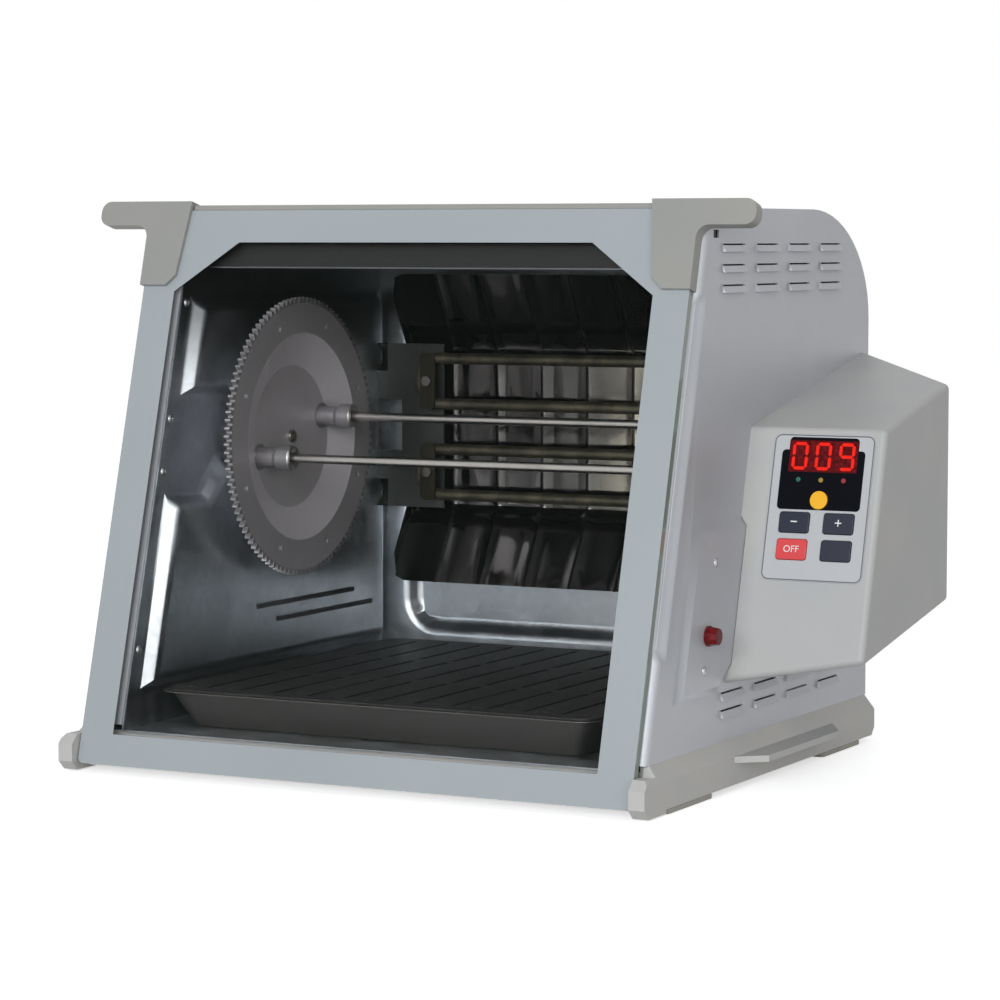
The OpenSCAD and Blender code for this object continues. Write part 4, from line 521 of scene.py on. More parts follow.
def grate_coating(name, colour):
    """Black non-stick plate with fine scratches and a dull burnt bloom."""
    finish = Finish(name, IOR=1.45)
    bloom = finish.noise(22, 5, 0.65, 0.7)
    grain = finish.noise(1100, 3, 0.6)
    scratch = finish.noise(1, 3, 0.7, 1.0, vector=finish.stretched((260, 18, 60), (0, 0, 0.4)))
    mark = scratch.rise(0.66, 0.72) * 0.5
    finish.feed(
        Base_Color=finish.mix(bloom.rise(0.4, 0.75) * 0.6 + mark, colour, tint(colour, 2.6)),
        Roughness=0.42 + bloom * 0.2,
    )
    return finish.bump(grain * 0.6 + mark * -0.4, 0.00012).material


def pane(name, colour):
    """Clear tempered glass whose cut edges glow green."""
    finish = Finish(name, Roughness=0.03, IOR=1.5)
    place = finish.axes()
    half_width = (glass_high.x - glass_low.x) / 2
    half_length = DOOR_LENGTH / 2
    side = abs(place.x - DOOR_MIDDLE).rise(half_width - 0.9 * MM, half_width - 0.3 * MM)
    end = abs(along_face(place) - half_length).rise(half_length - 0.9 * MM, half_length - 0.3 * MM)
    rim = side.most(end)
    smudge = finish.noise(14, 4, 0.6, 0.6).rise(0.5, 0.8)
    facing = finish.add("ShaderNodeLayerWeight", {}, {"Blend": 0.15}, "Fresnel")
    finish.feed(
        Base_Color=finish.mix(rim, colour, (0.30, 0.36, 0.31)),
        Alpha=(0.035 + smudge * 0.01 + facing * 0.12 + rim * 0.8).least(1.0),
    )
    return finish.material


def enamel(name, colour):
    """Fired enamel on glass: level, faintly pebbled, with a soft sheen."""
    finish = Finish(name, Coat_Weight=0.35, Coat_Roughness=0.12, IOR=1.5)
    clouds = finish.noise(5, 2)
    pebble = finish.noise(1400, 2)
    finish.feed(
        Base_Color=finish.mix(clouds.rise(0.3, 0.7), tint(colour, 0.97), tint(colour, 1.03)),
        Roughness=0.34 + pebble * 0.08,
    )
    return finish.bump(pebble, 0.00003).material


def porcelain(name, colour):
    """Unglazed ceramic with a fine pitted grain."""
    finish = Finish(name)
    pits = finish.noise(800, 3, 0.6)
    finish.feed(
        Base_Color=finish.mix(pits, tint(colour, 0.88), tint(colour, 1.05)),
        Roughness=0.55 + pits * 0.15,
    )
    return finish.bump(pits, 0.00006).material


def lens(name, colour, glow, **constants):
    """Moulded coloured lens with an inner glow that fades in its grain."""
    finish = Finish(name, **{"Roughness": 0.12, "IOR": 1.49, "Emission_Strength": glow, **constants})
    grain = finish.noise(420, 3, 0.6)
    tone = finish.mix(grain.rise(0.3, 0.75), tint(colour, 0.6), tint(colour, 1.5))
    finish.feed(Base_Color=tone, Emission_Color=tone)
    return finish.material


def lit(name, colour, strength):
    """Lit segment with a faintly uneven glow."""
    finish = Finish(name, Roughness=0.5, IOR=1.1, Emission_Strength=strength)
    glow = finish.noise(300, 2)
    tone = finish.mix(glow, colour, (colour[0], colour[1] + 0.015, colour[2] + 0.01))
    finish.feed(Base_Color=finish.mix(glow, tint(colour, 0.10), tint(colour, 0.16)), Emission_Color=tone)
    return finish.material


def solder_mask(name, colour):
    """Circuit board with copper tracks under its green mask."""
    finish = Finish(name, Roughness=0.3, IOR=1.5)
    lanes = finish.cells(260, "Distance", 0.4)
    track = lanes.rise(0.30, 0.34)
    finish.feed(Base_Color=finish.mix(track, colour, tint(colour, 2.0)))
    return finish.bump(track, 0.00004).material


def panel_film(name, colour, line):
    """Fascia film with a thin dark line of painted shade along its rounded edge, standing in for the shaded
    gap there.
    """
    finish = Finish(name, IOR=1.46)
    place = finish.axes()
    middle, width, height = key_face("control_fascia")
    aside = (abs(place.x - middle.x) - (width / 2 - FILM_ROUND)).most(0.0)
    above = (abs(along_face(place) - along_face(middle)) - (height / 2 - FILM_ROUND)).most(0.0)
    corner = (aside * aside + above * above).math("SQRT")
    # Painted shade: a thin dark line inside the film's edge, standing in for the shaded gap there.
    outline = 1 - abs(corner - (FILM_ROUND - 0.7 * MM)).rise(0.3 * MM, 0.5 * MM)
    grain = finish.noise(1600, 2)
    clouds = finish.noise(14, 2)
    base = finish.mix(clouds, tint(colour, 0.97), tint(colour, 1.03))
    finish.feed(Base_Color=finish.mix(outline, base, line), Roughness=0.36 + grain * 0.12)
    return finish.bump(grain, 0.00003).material


def lamp_row(name, tones):
    """Lenses whose colour goes with their place across the panel."""
    finish = Finish(name, Roughness=0.15, IOR=1.49)
    across = finish.axes().x
    low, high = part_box("indicator_lamps")
    third = (high.x - low.x) / 3
    first = finish.mix((across - (low.x + third)).rise(-MM, MM), tones[0], tones[1])
    tone = finish.mix((across - (low.x + 2 * third)).rise(-MM, MM), first, tones[2])
    grain = finish.noise(420, 3, 0.6)
    finish.feed(Base_Color=finish.mix(grain * 0.4, tone, (0.0, 0.0, 0.0)))
    return finish.material


# Modelling


def choose(piece):
    """Selects only this piece and makes it active."""
    bpy.ops.object.select_all(action="DESELECT")
    piece.select_set(True)
    bpy.context.view_layer.objects.active = piece


def edit(kind=None):
    """Goes into edit mode, to choose vertices, edges or faces where a kind is given."""
    bpy.ops.object.mode_set(mode="EDIT")
    if kind:
        bpy.ops.mesh.select_mode(type=kind)


def leave_edit():
    bpy.ops.object.mode_set(mode="OBJECT")


def merge_doubles():
    """Merges the vertices of the active piece that lie in one place, and stays in edit mode."""
    edit()
    bpy.ops.mesh.select_all(action="SELECT")
    bpy.ops.mesh.remove_doubles(threshold=MERGE)


def choose_nothing(mesh):
    """Leaves no vertex, edge or face of a mesh selected."""
    for parts in (mesh.vertices, mesh.edges, mesh.polygons):
        for item in parts:
            item.select = False


def wear(piece, material, body):
    """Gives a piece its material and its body."""
    piece.data.materials.clear()
    piece.data.materials.append(material)
    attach(piece, body)


def eased(share):
    """Goes smoothly from 0 to 1 as the share does."""
    share = max(0.0, min(1.0, share))
    return share * share * (3 - 2 * share)


def jog_ends():
    """Where the stepped part of a side panel's edge begins and ends, up the slope."""
    return [(z - DOOR_FOOT.z + SEAT * math.sin(LEAN)) / math.cos(LEAN) for z in JOG_HEIGHTS]


def edge_place(place):
    """How far a place on a side panel lies in from its side, behind its front and up the slope."""
    inward = BODY_HALF - abs(place.x - DOOR_MIDDLE)
    return inward, -(out_of_face(place) + SEAT), along_face(place)


def rolled(place):
    """Where a place on a side panel goes when its front edge is rolled and its step drawn out softly."""
    inward, behind, along = edge_place(place)
    low, high = jog_ends()
    beyond = max(low - along, along - high)
    stepped = beyond < TOUCH
    side = JOG - max(0.0, min(JOG, behind - JOG_BEHIND)) if stepped else 0.0
    deep = max(0.0, inward - side)
    share = 1.0 if stepped else 1 - eased(beyond / JOG_FADE)
    soft_side = share * JOG * (1 - eased((behind - BEAD_START) / BEAD_LENGTH))
    moved = side + deep + (soft_side - side) * (1 - eased((deep - BEAD_SKIN) / BEAD_DEPTH))
    back = behind
    if deep < ROLL and behind < ROLL:
        across, down = ROLL - deep, ROLL - max(behind, 0.0)
        shrink = max(across, down) / math.hypot(across, down)
        moved += ROLL - across * shrink - deep
        back = ROLL - down * shrink
    sign = 1 if place.x > DOOR_MIDDLE else -1
    here = Vector((DOOR_MIDDLE + sign * (BODY_HALF - moved), place.y, place.z))
    return here - OUTWARD * (back - behind)


def cut_strip(piece, place, normal, widest=math.inf, deepest=math.inf):
    """Cuts the faces of a side panel that lie near its front edge with a plane."""
    leave_edit()
    near = []
    for vertex in piece.data.vertices:
        inward, behind = edge_place(vertex.co)[:2]
        near.append(-SLACK < inward < widest + SLACK and behind < deepest + SLACK)
    choose_nothing(piece.data)
    for face in piece.data.polygons:
        face.select = all(near[index] for index in face.vertices)
    edit("FACE")
    bpy.ops.mesh.bisect(plane_co=place, plane_no=normal)


def roll_edge(piece):
    """Rolls the front edge of a side panel and draws its step out into a soft bead."""
    sign = 1 if piece.data.vertices[0].co.x > DOOR_MIDDLE else -1

    def cut_behind(depth, **limits):
        cut_strip(piece, face_place(0, 0, -SEAT - depth), OUTWARD, **limits)

    def cut_inward(depth, **limits):
        place = Vector((DOOR_MIDDLE + sign * (BODY_HALF - depth), 0, 0))
        cut_strip(piece, place, (1, 0, 0), **limits)

    choose(piece)
    strip = {"widest": STRIP_INWARD, "deepest": STRIP_BEHIND}
    cut_behind(STRIP_BEHIND)
    cut_inward(STRIP_INWARD, deepest=STRIP_BEHIND)
    turns = tuple(ROLL * (1 - math.tan(math.radians(turn))) for turn in ROLL_TURNS)
    for depth in turns + BEAD_CUTS:
        cut_behind(depth, **strip)
    for depth in turns + tuple(JOG + turn for turn in turns):
        cut_inward(depth, **strip)
    low, high = jog_ends()
    for step in range(FADE_STEPS + 1):
        beyond = step * JOG_FADE / FADE_STEPS
        for along in (low - beyond, high + beyond):
            cut_strip(piece, face_place(0, along, 0), UPWARD, **strip)
    leave_edit()
    moved = 0
    for vertex in piece.data.vertices:
        inward, behind = edge_place(vertex.co)[:2]
        if -SLACK < inward < STRIP_INWARD and behind < STRIP_BEHIND:
            vertex.co = rolled(vertex.co)
            moved += 1
    if not moved:
        raise RuntimeError("no edge was found")
    merge_doubles()
    leave_edit()


def bevel_edges(piece, chosen, width, segments):
    """Rounds the chosen edges of a piece."""
    choose_nothing(piece.data)
    for index in chosen:
        piece.data.edges[index].select = True
    edit("EDGE")
    bpy.ops.mesh.bevel(offset=width, segments=segments, affect="EDGES", clamp_overlap=False)
    leave_edit()


def creases(piece):
    """Edges of pressed forms: bent, but not as far as a cut edge, and not short."""
    found = []
    for bend in CREASE_ANGLES:
        edit("EDGE")
        bpy.ops.mesh.select_all(action="DESELECT")
        bpy.ops.mesh.edges_select_sharp(sharpness=math.radians(bend))
        leave_edit()
        found.append({edge.index for edge in piece.data.edges if edge.select})
    chosen = set()
    for index in found[0] - found[1]:
        ends = [piece.data.vertices[end].co for end in piece.data.edges[index].vertices]
        if (ends[0] - ends[1]).length > CREASE_SHORTEST:
            chosen.add(index)
    return chosen


def finish_node(node, material, radius=0.0, segments=2, smooth=None, join=True, roll=False, press=0.0):
    """Adds a copy of a CAD node with its triangles joined, its edges rounded by radius and its faces
    shaded smoothly. A side panel's front edge can be rolled, and a pressed sheet's bends rounded."""
    source = frame["nodes"][node]
    piece = bpy.data.objects.new(node + "_finished", source.data.copy())
    bpy.context.scene.collection.objects.link(piece)
    choose(piece)
    merge_doubles()
    if join:
        bpy.ops.mesh.dissolve_limited(angle_limit=math.radians(JOIN_ANGLE))
    leave_edit()
    if not piece.data.polygons:
        raise RuntimeError("the piece came out empty: " + node)
    if radius > 0:
        rounding = piece.modifiers.new("Rounding", "BEVEL")
        rounding.width = radius
        rounding.segments = segments
        rounding.limit_method = "ANGLE"
        rounding.angle_limit = math.radians(ROUND_ANGLE)
        rounding.miter_outer = "MITER_ARC"
        bpy.ops.object.modifier_apply(modifier=rounding.name)
    if press > 0:
        bevel_edges(piece, creases(piece), press, PRESS_SEGMENTS)
    if roll:
        roll_edge(piece)
    smooth = smooth or (SMOOTH_ROUNDED if radius > 0 else SMOOTH_PLAIN)
    bpy.ops.object.shade_smooth_by_angle(angle=math.radians(smooth))
    levelling = piece.modifiers.new("Levelling", "WEIGHTED_NORMAL")
    levelling.keep_sharp = True
    levelling.weight = LEVEL_WEIGHT
    bpy.ops.object.modifier_apply(modifier=levelling.name)
    wear(piece, material, source["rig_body"])
    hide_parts(node)


def finish_nodes(nodes, material, radius=0.0, **choices):
    """Finishes several nodes alike."""
    for node in nodes:
        finish_node(node, material, radius, **choices)


def pocket_cover(side, material):
    """Adds the wedge that closes the pocket over a carrying ledge, flush with the base's shoulder."""
    bpy.ops.object.select_all(action="DESELECT")
    bpy.ops.mesh.primitive_cube_add(size=1, location=(0, 0, 0))
    cover = bpy.context.object
    cover.name = ("left" if side < 0 else "right") + "_pocket_cover"
    middle = (base_low.x + base_high.x) / 2
    half = (base_high.x - base_low.x) / 2 - LEDGE_REACH
    for vertex in cover.data.vertices:
        outside = vertex.co.x > 0
        top = vertex.co.z > 0
        reach = half - POCKET_BACK
        if outside:
            reach = half - POCKET_SLOPE if top else half + POCKET_LIP
        along = POCKET_MIDDLE + vertex.co.y * POCKET_LENGTH
        vertex.co = (middle + side * reach, along, POCKET_FOOT + (POCKET_RISE if top else 0))
    choose(cover)
    edit()
    bpy.ops.mesh.select_all(action="SELECT")
    bpy.ops.mesh.normals_make_consistent(inside=False)
    leave_edit()
    wear(cover, material, frame["nodes"]["base"]["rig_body"])


def lettering(name, text, node, size, material):
    """Prints a sign on a key's face, as a thin raised film."""
    middle = key_face(node)[0]
    bpy.ops.object.select_all(action="DESELECT")
    bpy.ops.object.text_add(location=(0, 0, 0))
    sign = bpy.context.object
    sign.name = name
    sign.data.body = text
    sign.data.size = size
    sign.data.align_x = "CENTER"
    sign.data.align_y = "CENTER"
    sign.data.extrude = INK_DEPTH
    sign.data.resolution_u = INK_STEPS
    bpy.ops.object.convert(target="MESH")
    sign = bpy.context.object
    sign.matrix_world = Matrix.Translation(middle) @ Matrix.Rotation(math.pi / 2 - LEAN, 4, "X")
    bpy.ops.object.transform_apply(location=True, rotation=True, scale=True)
    if not sign.data.polygons:
        raise RuntimeError("the sign came out empty: " + text)
    wear(sign, material, frame["nodes"][node]["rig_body"])


# Settings


def colour_setting(name, description, default):
    return bpy.props.FloatVectorProperty(
        name=name, description=description, subtype="COLOR", size=3, min=0, max=1, default=default
    )


def length_setting(name, description, default):
    return bpy.props.FloatProperty(
        name=name, description=description, unit="LENGTH", subtype="DISTANCE", min=0, default=default
    )


def number_setting(name, description, default, **limits):
    return bpy.props.FloatProperty(name=name, description=description, min=0, default=default, **limits)


class OvenCasingSettings(bpy.types.PropertyGroup):
    paint: colour_setting("Paint", "Colour of the painted sheet steel", (0.51, 0.525, 0.56))
    plastic: colour_setting("Plastic", "Colour of the base", (0.56, 0.56, 0.555))
    grip: colour_setting("Grips", "Colour of the door handles", (0.335, 0.337, 0.325))
    shell: colour_setting("Control box", "Colour of the control box", (0.465, 0.470, 0.480))
    feet: colour_setting("Feet", "Colour of the foot pads", (0.36, 0.35, 0.32))
    mould: length_setting("Moulded edge", "Radius of the edges of moulded pieces", 1.4 * MM)


class OvenCavitySettings(bpy.types.PropertyGroup):
    liner: colour_setting("Liner", "Colour of the aluminised liner", (0.64, 0.68, 0.715))
    mirror: colour_setting("Reflector", "Colour of the polished reflector", (0.36, 0.355, 0.34))
    sheath: colour_setting("Heater", "Colour of the heater sheath", (0.075, 0.068, 0.045))
    bracket: colour_setting("Brackets", "Colour of the heater brackets", (0.075, 0.078, 0.075))
    press: length_setting("Pressed edge", "Width of the pressed bends of the liner", 3.2 * MM)


class OvenSpitSettings(bpy.types.PropertyGroup):
    coating: colour_setting("Wheel", "Colour of the gear wheels' coating", (0.47, 0.45, 0.475))
    rod: colour_setting("Rods", "Colour of the spit rods", (0.40, 0.385, 0.365))
    tray: colour_setting("Tray", "Colour of the drip tray", (0.135, 0.13, 0.12))
    grate: colour_setting("Grate", "Colour of the grate", (0.010, 0.0095, 0.0095))


class OvenDoorSettings(bpy.types.PropertyGroup):
    glass: colour_setting("Glass", "Tint of the door glass", (0.03, 0.04, 0.036))
    band: colour_setting("Band", "Colour of the enamel band", (0.375, 0.412, 0.438))


class OvenControlSettings(bpy.types.PropertyGroup):
    film: colour_setting("Film", "Colour of the fascia film", (0.505, 0.513, 0.535))
    # The outline's colour is painted shade, a dark line standing in for the shaded gap at the fascia's edge.
    line: colour_setting("Print", "Colour of the printed outline", (0.13, 0.14, 0.16))
    key: colour_setting("Keys", "Colour of the dark keys", (0.012, 0.016, 0.036))
    stop: colour_setting("Stop key", "Colour of the OFF key", (0.74, 0.065, 0.07))
    function: colour_setting("Function key", "Colour of the round key", (1.0, 0.50, 0.01))
    digits: colour_setting("Digits", "Colour of the lit digits", (1.0, 0.018, 0.010))


class OvenStudioSettings(bpy.types.PropertyGroup):
    key_power: number_setting("Key light", "Power of the large lamp in watts", 112)
    fill_power: number_setting("Fill light", "Power of the lamp on the right in watts", 31)
    top_power: number_setting("Top light", "Power of the lamp overhead in watts", 4)
    floor_glow: number_setting("Floor glow", "How far the floor is lifted to white", 0.60)
    floor_bounce: number_setting("Floor bounce", "Share of the light thrown back by the floor", 0.45, max=1)
    ambient: number_setting("Ambient", "Strength of the light from all round", 0.30)


# Operators


class OvenOperator:
    """What the operators share."""

    bl_options = {"REGISTER", "UNDO"}


class OVEN_OT_casing(OvenOperator, bpy.types.Operator):
    """Paints the side panels and the wrap cover"""

    bl_idname = "oven.casing"
    bl_label = "Casing"

    def execute(self, context):
        look = context.scene.oven_casing
        paint = sheet_paint("silver_paint", look.paint)
        finish_nodes(("left_side_panel", "right_side_panel"), paint, join=False, roll=True)
        # The black passed here is painted shade for the flange behind the window's top.
        cover_paint = sheet_paint("cover_paint", look.paint, (0.012, 0.012, 0.012))
        finish_node("wrap_cover", cover_paint, join=False)
        return {"FINISHED"}


class OVEN_OT_base(OvenOperator, bpy.types.Operator):
    """Rounds and finishes the base and its feet"""

    bl_idname = "oven.base"
    bl_label = "Base"

    def execute(self, context):
        look = context.scene.oven_casing
        plastic = moulded("base_plastic", look.plastic)
        finish_node("base", plastic, look.mould, 3)
        for side in (-1, 1):
            pocket_cover(side, plastic)
        finish_node("feet", moulded("foot_plastic", look.feet, 0.55), look.mould / 2)
        return {"FINISHED"}


class OVEN_OT_liner(OvenOperator, bpy.types.Operator):
    """Finishes the aluminised walls, ceiling and floor of the cavity"""

    bl_idname = "oven.liner"
    bl_label = "Cavity liner"

    def execute(self, context):
        look = context.scene.oven_cavity
        steel = aluminised("aluminised_steel", look.liner)
        pressed = ("left_inner_wall", "right_inner_wall", "inner_back_wall")
        finish_nodes(pressed, steel, smooth=24, press=look.press)
        finish_nodes(("ceiling_panel", "floor_pan"), steel)
        return {"FINISHED"}


class OVEN_OT_heater(OvenOperator, bpy.types.Operator):
    """Finishes reflector, heater, brackets and insulators"""

    bl_idname = "oven.heater"
    bl_label = "Heater and reflector"

    def execute(self, context):
        look = context.scene.oven_cavity
        finish_node("reflector", mirror_sheet("polished_steel", look.mirror))
        finish_node("heater_element", heater_skin("heater_sheath", look.sheath))
        bracket = bare_steel("bracket_steel", look.bracket, 0.42)
        finish_nodes(("left_heater_bracket", "right_heater_bracket", "motor_bracket"), bracket, 0.2 * MM)
        clamp = bare_steel("clamp_steel", (0.036, 0.033, 0.024), 0.4)
        finish_node("heater_clamps", clamp, 0.25 * MM)
        ceramic = porcelain("porcelain", (0.72, 0.70, 0.64))
        finish_nodes(("heater_terminals", "thermal_cutout"), ceramic, 0.3 * MM)
        return {"FINISHED"}


class OVEN_OT_spit(OvenOperator, bpy.types.Operator):
    """Finishes the gear wheels, rods, axles and the drive"""

    bl_idname = "oven.spit"
    bl_label = "Spit and drive"

    def execute(self, context):
        look = context.scene.oven_spit
        coating = wheel_coating("wheel_coating", look.coating)
        finish_nodes(("left_gear_wheel", "right_gear_wheel"), coating, 0.25 * MM, segments=1, smooth=12)
        rod = drawn_rod("drawn_steel", look.rod)
        finish_nodes(("spit_rods", "axle_stubs", "drive_shaft"), rod, 0.3 * MM)
        finish_node("drive_pinion", bare_steel("sintered_steel", (0.16, 0.16, 0.17), 0.4), 0.2 * MM)
        finish_node("gearmotor", bare_steel("motor_can", (0.48, 0.48, 0.49), 0.35), 0.5 * MM)
        saddle = moulded("saddle_plastic", (0.56, 0.53, 0.46), 0.4)
        finish_nodes(("left_spit_saddle", "right_spit_saddle"), saddle, 0.4 * MM)
        return {"FINISHED"}


class OVEN_OT_tray(OvenOperator, bpy.types.Operator):
    """Finishes the drip tray and its grate"""

    bl_idname = "oven.tray"
    bl_label = "Drip tray"

    def execute(self, context):
        look = context.scene.oven_spit
        finish_node("drip_tray", tray_metal("tray_metal", look.tray), 0.45 * MM)
        finish_node("grate", grate_coating("grate_coating", look.grate), 0.3 * MM)
        return {"FINISHED"}


class OVEN_OT_door(OvenOperator, bpy.types.Operator):
    """Finishes the glass, its enamel band, the handles and the hinge"""

    bl_idname = "oven.door"
    bl_label = "Door"

    def execute(self, context):
        look = context.scene.oven_door
        plastic = moulded("handle_plastic", context.scene.oven_casing.grip)
        finish_node("door_glass", pane("door_glass", look.glass), 0.6 * MM)
        finish_node("door_band", enamel("fired_enamel", look.band))
        handles = ("left_door_handle", "right_door_handle")
        finish_nodes(handles, plastic, 2.0 * MM, segments=5, smooth=40)
        finish_node("door_top_trim", plastic, 0.6 * MM)
        hinge = bare_steel("hinge_steel", (0.62, 0.62, 0.63), 0.3)
        finish_nodes(("door_hinge_rail", "door_hinge_pins", "handle_screws"), hinge, 0.15 * MM)
        return {"FINISHED"}


class OVEN_OT_control_box(OvenOperator, bpy.types.Operator):
    """Finishes the control box with its fascia, display and board"""

    bl_idname = "oven.control_box"
    bl_label = "Control box"

    def execute(self, context):
        look = context.scene.oven_control
        plastic = moulded("control_plastic", context.scene.oven_casing.shell, 0.46)
        finish_node("control_housing", plastic, 0.3 * MM)
        # The fascia's outline colour is painted shade along its edge.
        finish_node("control_fascia", panel_film("fascia_film", look.film, look.line), 0.15 * MM)
        display = moulded("display_lens", (0.006, 0.007, 0.010), 0.34, 900, IOR=1.08)
        finish_node("display_window", display, join=False)
        finish_node("led_module", lens("smoked_module", (0.075, 0.005, 0.006), 0.6, IOR=1.12), 0.2 * MM)
        finish_node("led_digits", lit("lit_segments", look.digits, 0.85))
        dots = lamp_row("indicator_lens", ((0.02, 0.16, 0.10), (0.45, 0.30, 0.03), (0.40, 0.02, 0.03)))
        finish_node("indicator_lamps", dots)
        finish_node("circuit_board", solder_mask("solder_mask", (0.02, 0.10, 0.045)))
        finish_node("board_parts", moulded("board_blocks", (0.30, 0.20, 0.04), 0.4), 0.5 * MM)
        return {"FINISHED"}


class OVEN_OT_keys(OvenOperator, bpy.types.Operator):
    """Finishes the keys and prints their signs"""

    bl_idname = "oven.keys"
    bl_label = "Keys"

    def execute(self, context):
        look = context.scene.oven_control
        gloss = {"Coat_Weight": 0.2, "Coat_Roughness": 0.14, "IOR": 1.35}
        dark = moulded("dark_key", look.key, 0.34, 900, **gloss)
        finish_nodes(("minus_button", "plus_button", "timer_button"), dark, 1.3 * MM, segments=5)
        finish_node("off_button", moulded("stop_key", look.stop, 0.36, 900, **gloss), 1.3 * MM, 5)
        finish_node("function_button", moulded("function_key", look.function, 0.34, 900), 0.9 * MM, 4)
        ink = moulded("key_print", (0.82, 0.83, 0.85), 0.4)
        lettering("minus_sign", "−", "minus_button", 9 * MM, ink)
        lettering("plus_sign", "+", "plus_button", 9 * MM, ink)
        lettering("off_sign", "OFF", "off_button", 6 * MM, ink)
        return {"FINISHED"}


class OVEN_OT_fittings(OvenOperator, bpy.types.Operator):
    """Finishes screws, pilot lamp, door catch and cord gland"""

    bl_idname = "oven.fittings"
    bl_label = "Screws and fittings"

    def execute(self, context):
        plated = bare_steel("plated_screws", (0.40, 0.40, 0.41), 0.34)
        screws = ("casing_screws", "wall_screws", "motor_screws", "board_screws", "housing_screws")
        finish_nodes(screws, plated, 0.12 * MM)
        finish_node("heater_bolts", bare_steel("heater_bolts", (0.17, 0.165, 0.15), 0.22), 0.3 * MM)
        red = lens("pilot_lens", (0.15, 0.002, 0.004), 0.01, IOR=1.3)
        finish_node("pilot_lamp", red, 0.2 * MM, smooth=45)
        black = moulded("black_plastic", (0.018, 0.018, 0.020), 0.42)
        finish_nodes(("pilot_lamp_holder", "cord_gland"), black, 0.4 * MM)
        finish_node("door_catch", bare_steel("black_spring", (0.02, 0.02, 0.02), 0.5), 0.12 * MM)
        return {"FINISHED"}


# Studio

# The camera: its place, turn and dip, its lens and sensor in millimetres, and how far it sees
CAMERA_PLACE = (0.99595, -1.9418, 0.3422)
CAMERA_TURN = math.radians(27.5)
CAMERA_DIP = math.radians(4.5)
CAMERA_LENS = 119.7
CAMERA_SENSOR = 36
CAMERA_REACH = 30

# Half the floor's width, its colour, and the colours of the light
FLOOR_HALF = 6.0
PALE = (0.97, 0.97, 0.97)
COOL = (0.95, 0.985, 1.0)
WARM = (1.0, 0.965, 0.92)

# Each lamp's name, place, target, size, the setting that holds its power, and its colour
LAMPS = (
    ("key_light", (0.7, -4.4, 1.4), (0, 0, 0.15), (2.6, 1.8), "key_power", COOL),
    ("fill_light", (3.5, -3.2, 0.8), (0.2, 0, 0.2), (2.2, 1.6), "fill_power", WARM),
    ("top_light", (0.1, 0.6, 3.4), (0, 0, 0.3), (2.4, 2.0), "top_power", COOL),
)


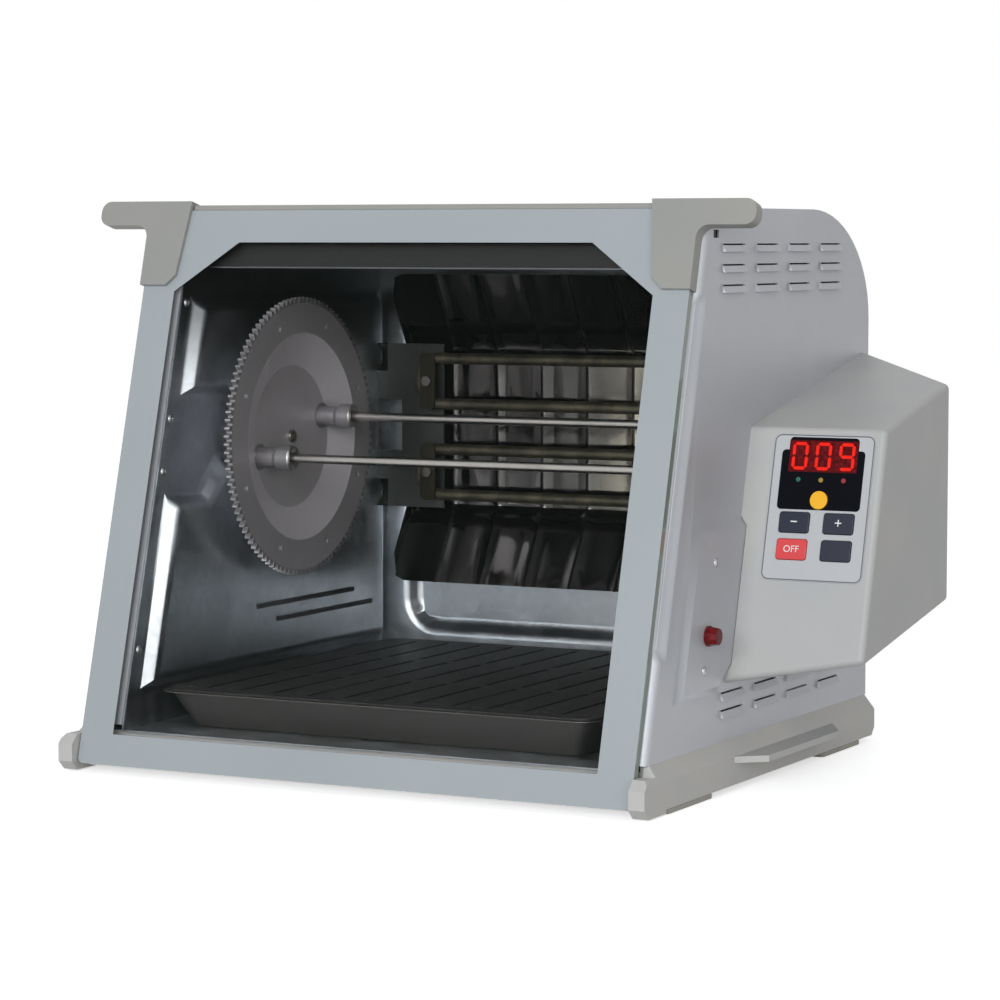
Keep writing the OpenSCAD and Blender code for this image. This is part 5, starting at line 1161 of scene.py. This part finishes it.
class OVEN_OT_studio(OvenOperator, bpy.types.Operator):
    """Builds the pale floor, the soft lamps and the camera"""

    bl_idname = "oven.studio"
    bl_label = "Studio"

    def lamp(self, name, place, target, size, power, colour):
        """A rectangular area lamp that looks at its target."""
        bpy.ops.object.light_add(type="AREA", location=place)
        lamp = bpy.context.object
        lamp.name = name
        lamp.data.shape = "RECTANGLE"
        lamp.data.size, lamp.data.size_y = size
        lamp.data.energy = power
        lamp.data.color = colour
        aim = Vector(target) - Vector(place)
        lamp.rotation_euler = aim.to_track_quat("-Z", "Y").to_euler()

    def floor(self, glow, bounce):
        """A pale floor that looks white, and gives back only a share of the light."""
        bpy.ops.mesh.primitive_plane_add(size=2 * FLOOR_HALF, location=(0, 0, 0))
        floor = bpy.context.object
        floor.name = "studio_floor"
        finish = Finish("studio_floor", Roughness=0.6, Emission_Color=(1, 1, 1, 1))
        seen = finish.seen()
        finish.feed(Base_Color=finish.mix(seen, tint(PALE, bounce), PALE), Emission_Strength=seen * glow)
        floor.data.materials.append(finish.material)

    def world(self, ambient):
        """A white room that lights softly but is seen at its full strength."""
        world = bpy.data.worlds.new("studio_world")
        bpy.context.scene.world = world
        world.use_nodes = True
        wiring = Wiring(world.node_tree, "Background")
        wiring.entry("Color").default_value = (1, 1, 1, 1)
        wiring.feed(Strength=wiring.seen() * (1 - ambient) + ambient)

    def camera(self):
        bpy.ops.object.camera_add(location=CAMERA_PLACE, rotation=(math.pi / 2 - CAMERA_DIP, 0, CAMERA_TURN))
        camera = bpy.context.object
        camera.data.lens = CAMERA_LENS
        camera.data.sensor_width = CAMERA_SENSOR
        camera.data.clip_end = CAMERA_REACH
        bpy.context.scene.camera = camera

    def execute(self, context):
        look = context.scene.oven_studio
        self.floor(look.floor_glow, look.floor_bounce)
        self.world(look.ambient)
        for name, place, target, size, power, colour in LAMPS:
            self.lamp(name, place, target, size, getattr(look, power), colour)
        self.camera()
        context.scene.view_settings.view_transform = "Standard"
        return {"FINISHED"}


class OVEN_PT_panel(bpy.types.Panel):
    """Lists the oven's pieces in the sidebar"""

    bl_idname = "OVEN_PT_panel"
    bl_label = "Rotisserie oven"
    bl_space_type = "VIEW_3D"
    bl_region_type = "UI"
    bl_category = "Oven"

    def draw(self, context):
        column = self.layout.column(align=True)
        for operator in OPERATORS:
            column.operator(operator.bl_idname)
        for group in SETTINGS:
            box = self.layout.box()
            settings = getattr(context.scene, group)
            for name in settings.__annotations__:
                box.prop(settings, name)


SETTINGS = {
    "oven_casing": OvenCasingSettings,
    "oven_cavity": OvenCavitySettings,
    "oven_spit": OvenSpitSettings,
    "oven_door": OvenDoorSettings,
    "oven_control": OvenControlSettings,
    "oven_studio": OvenStudioSettings,
}
OPERATORS = (
    OVEN_OT_studio,
    OVEN_OT_casing,
    OVEN_OT_base,
    OVEN_OT_liner,
    OVEN_OT_heater,
    OVEN_OT_spit,
    OVEN_OT_tray,
    OVEN_OT_door,
    OVEN_OT_control_box,
    OVEN_OT_keys,
    OVEN_OT_fittings,
)
CLASSES = tuple(SETTINGS.values()) + OPERATORS + (OVEN_PT_panel,)


def register():
    for cls in CLASSES:
        bpy.utils.register_class(cls)
    for name, group in SETTINGS.items():
        setattr(bpy.types.Scene, name, bpy.props.PointerProperty(type=group))


def unregister():
    for name in SETTINGS:
        delattr(bpy.types.Scene, name)
    for cls in reversed(CLASSES):
        bpy.utils.unregister_class(cls)


def main():
    """Builds every piece and the studio."""
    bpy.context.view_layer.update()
    register()
    for operator in OPERATORS:
        group, name = operator.bl_idname.split(".")
        if getattr(getattr(bpy.ops, group), name)() != {"FINISHED"}:
            raise RuntimeError("not finished: " + operator.bl_label)


if __name__ == "__main__":
    main()
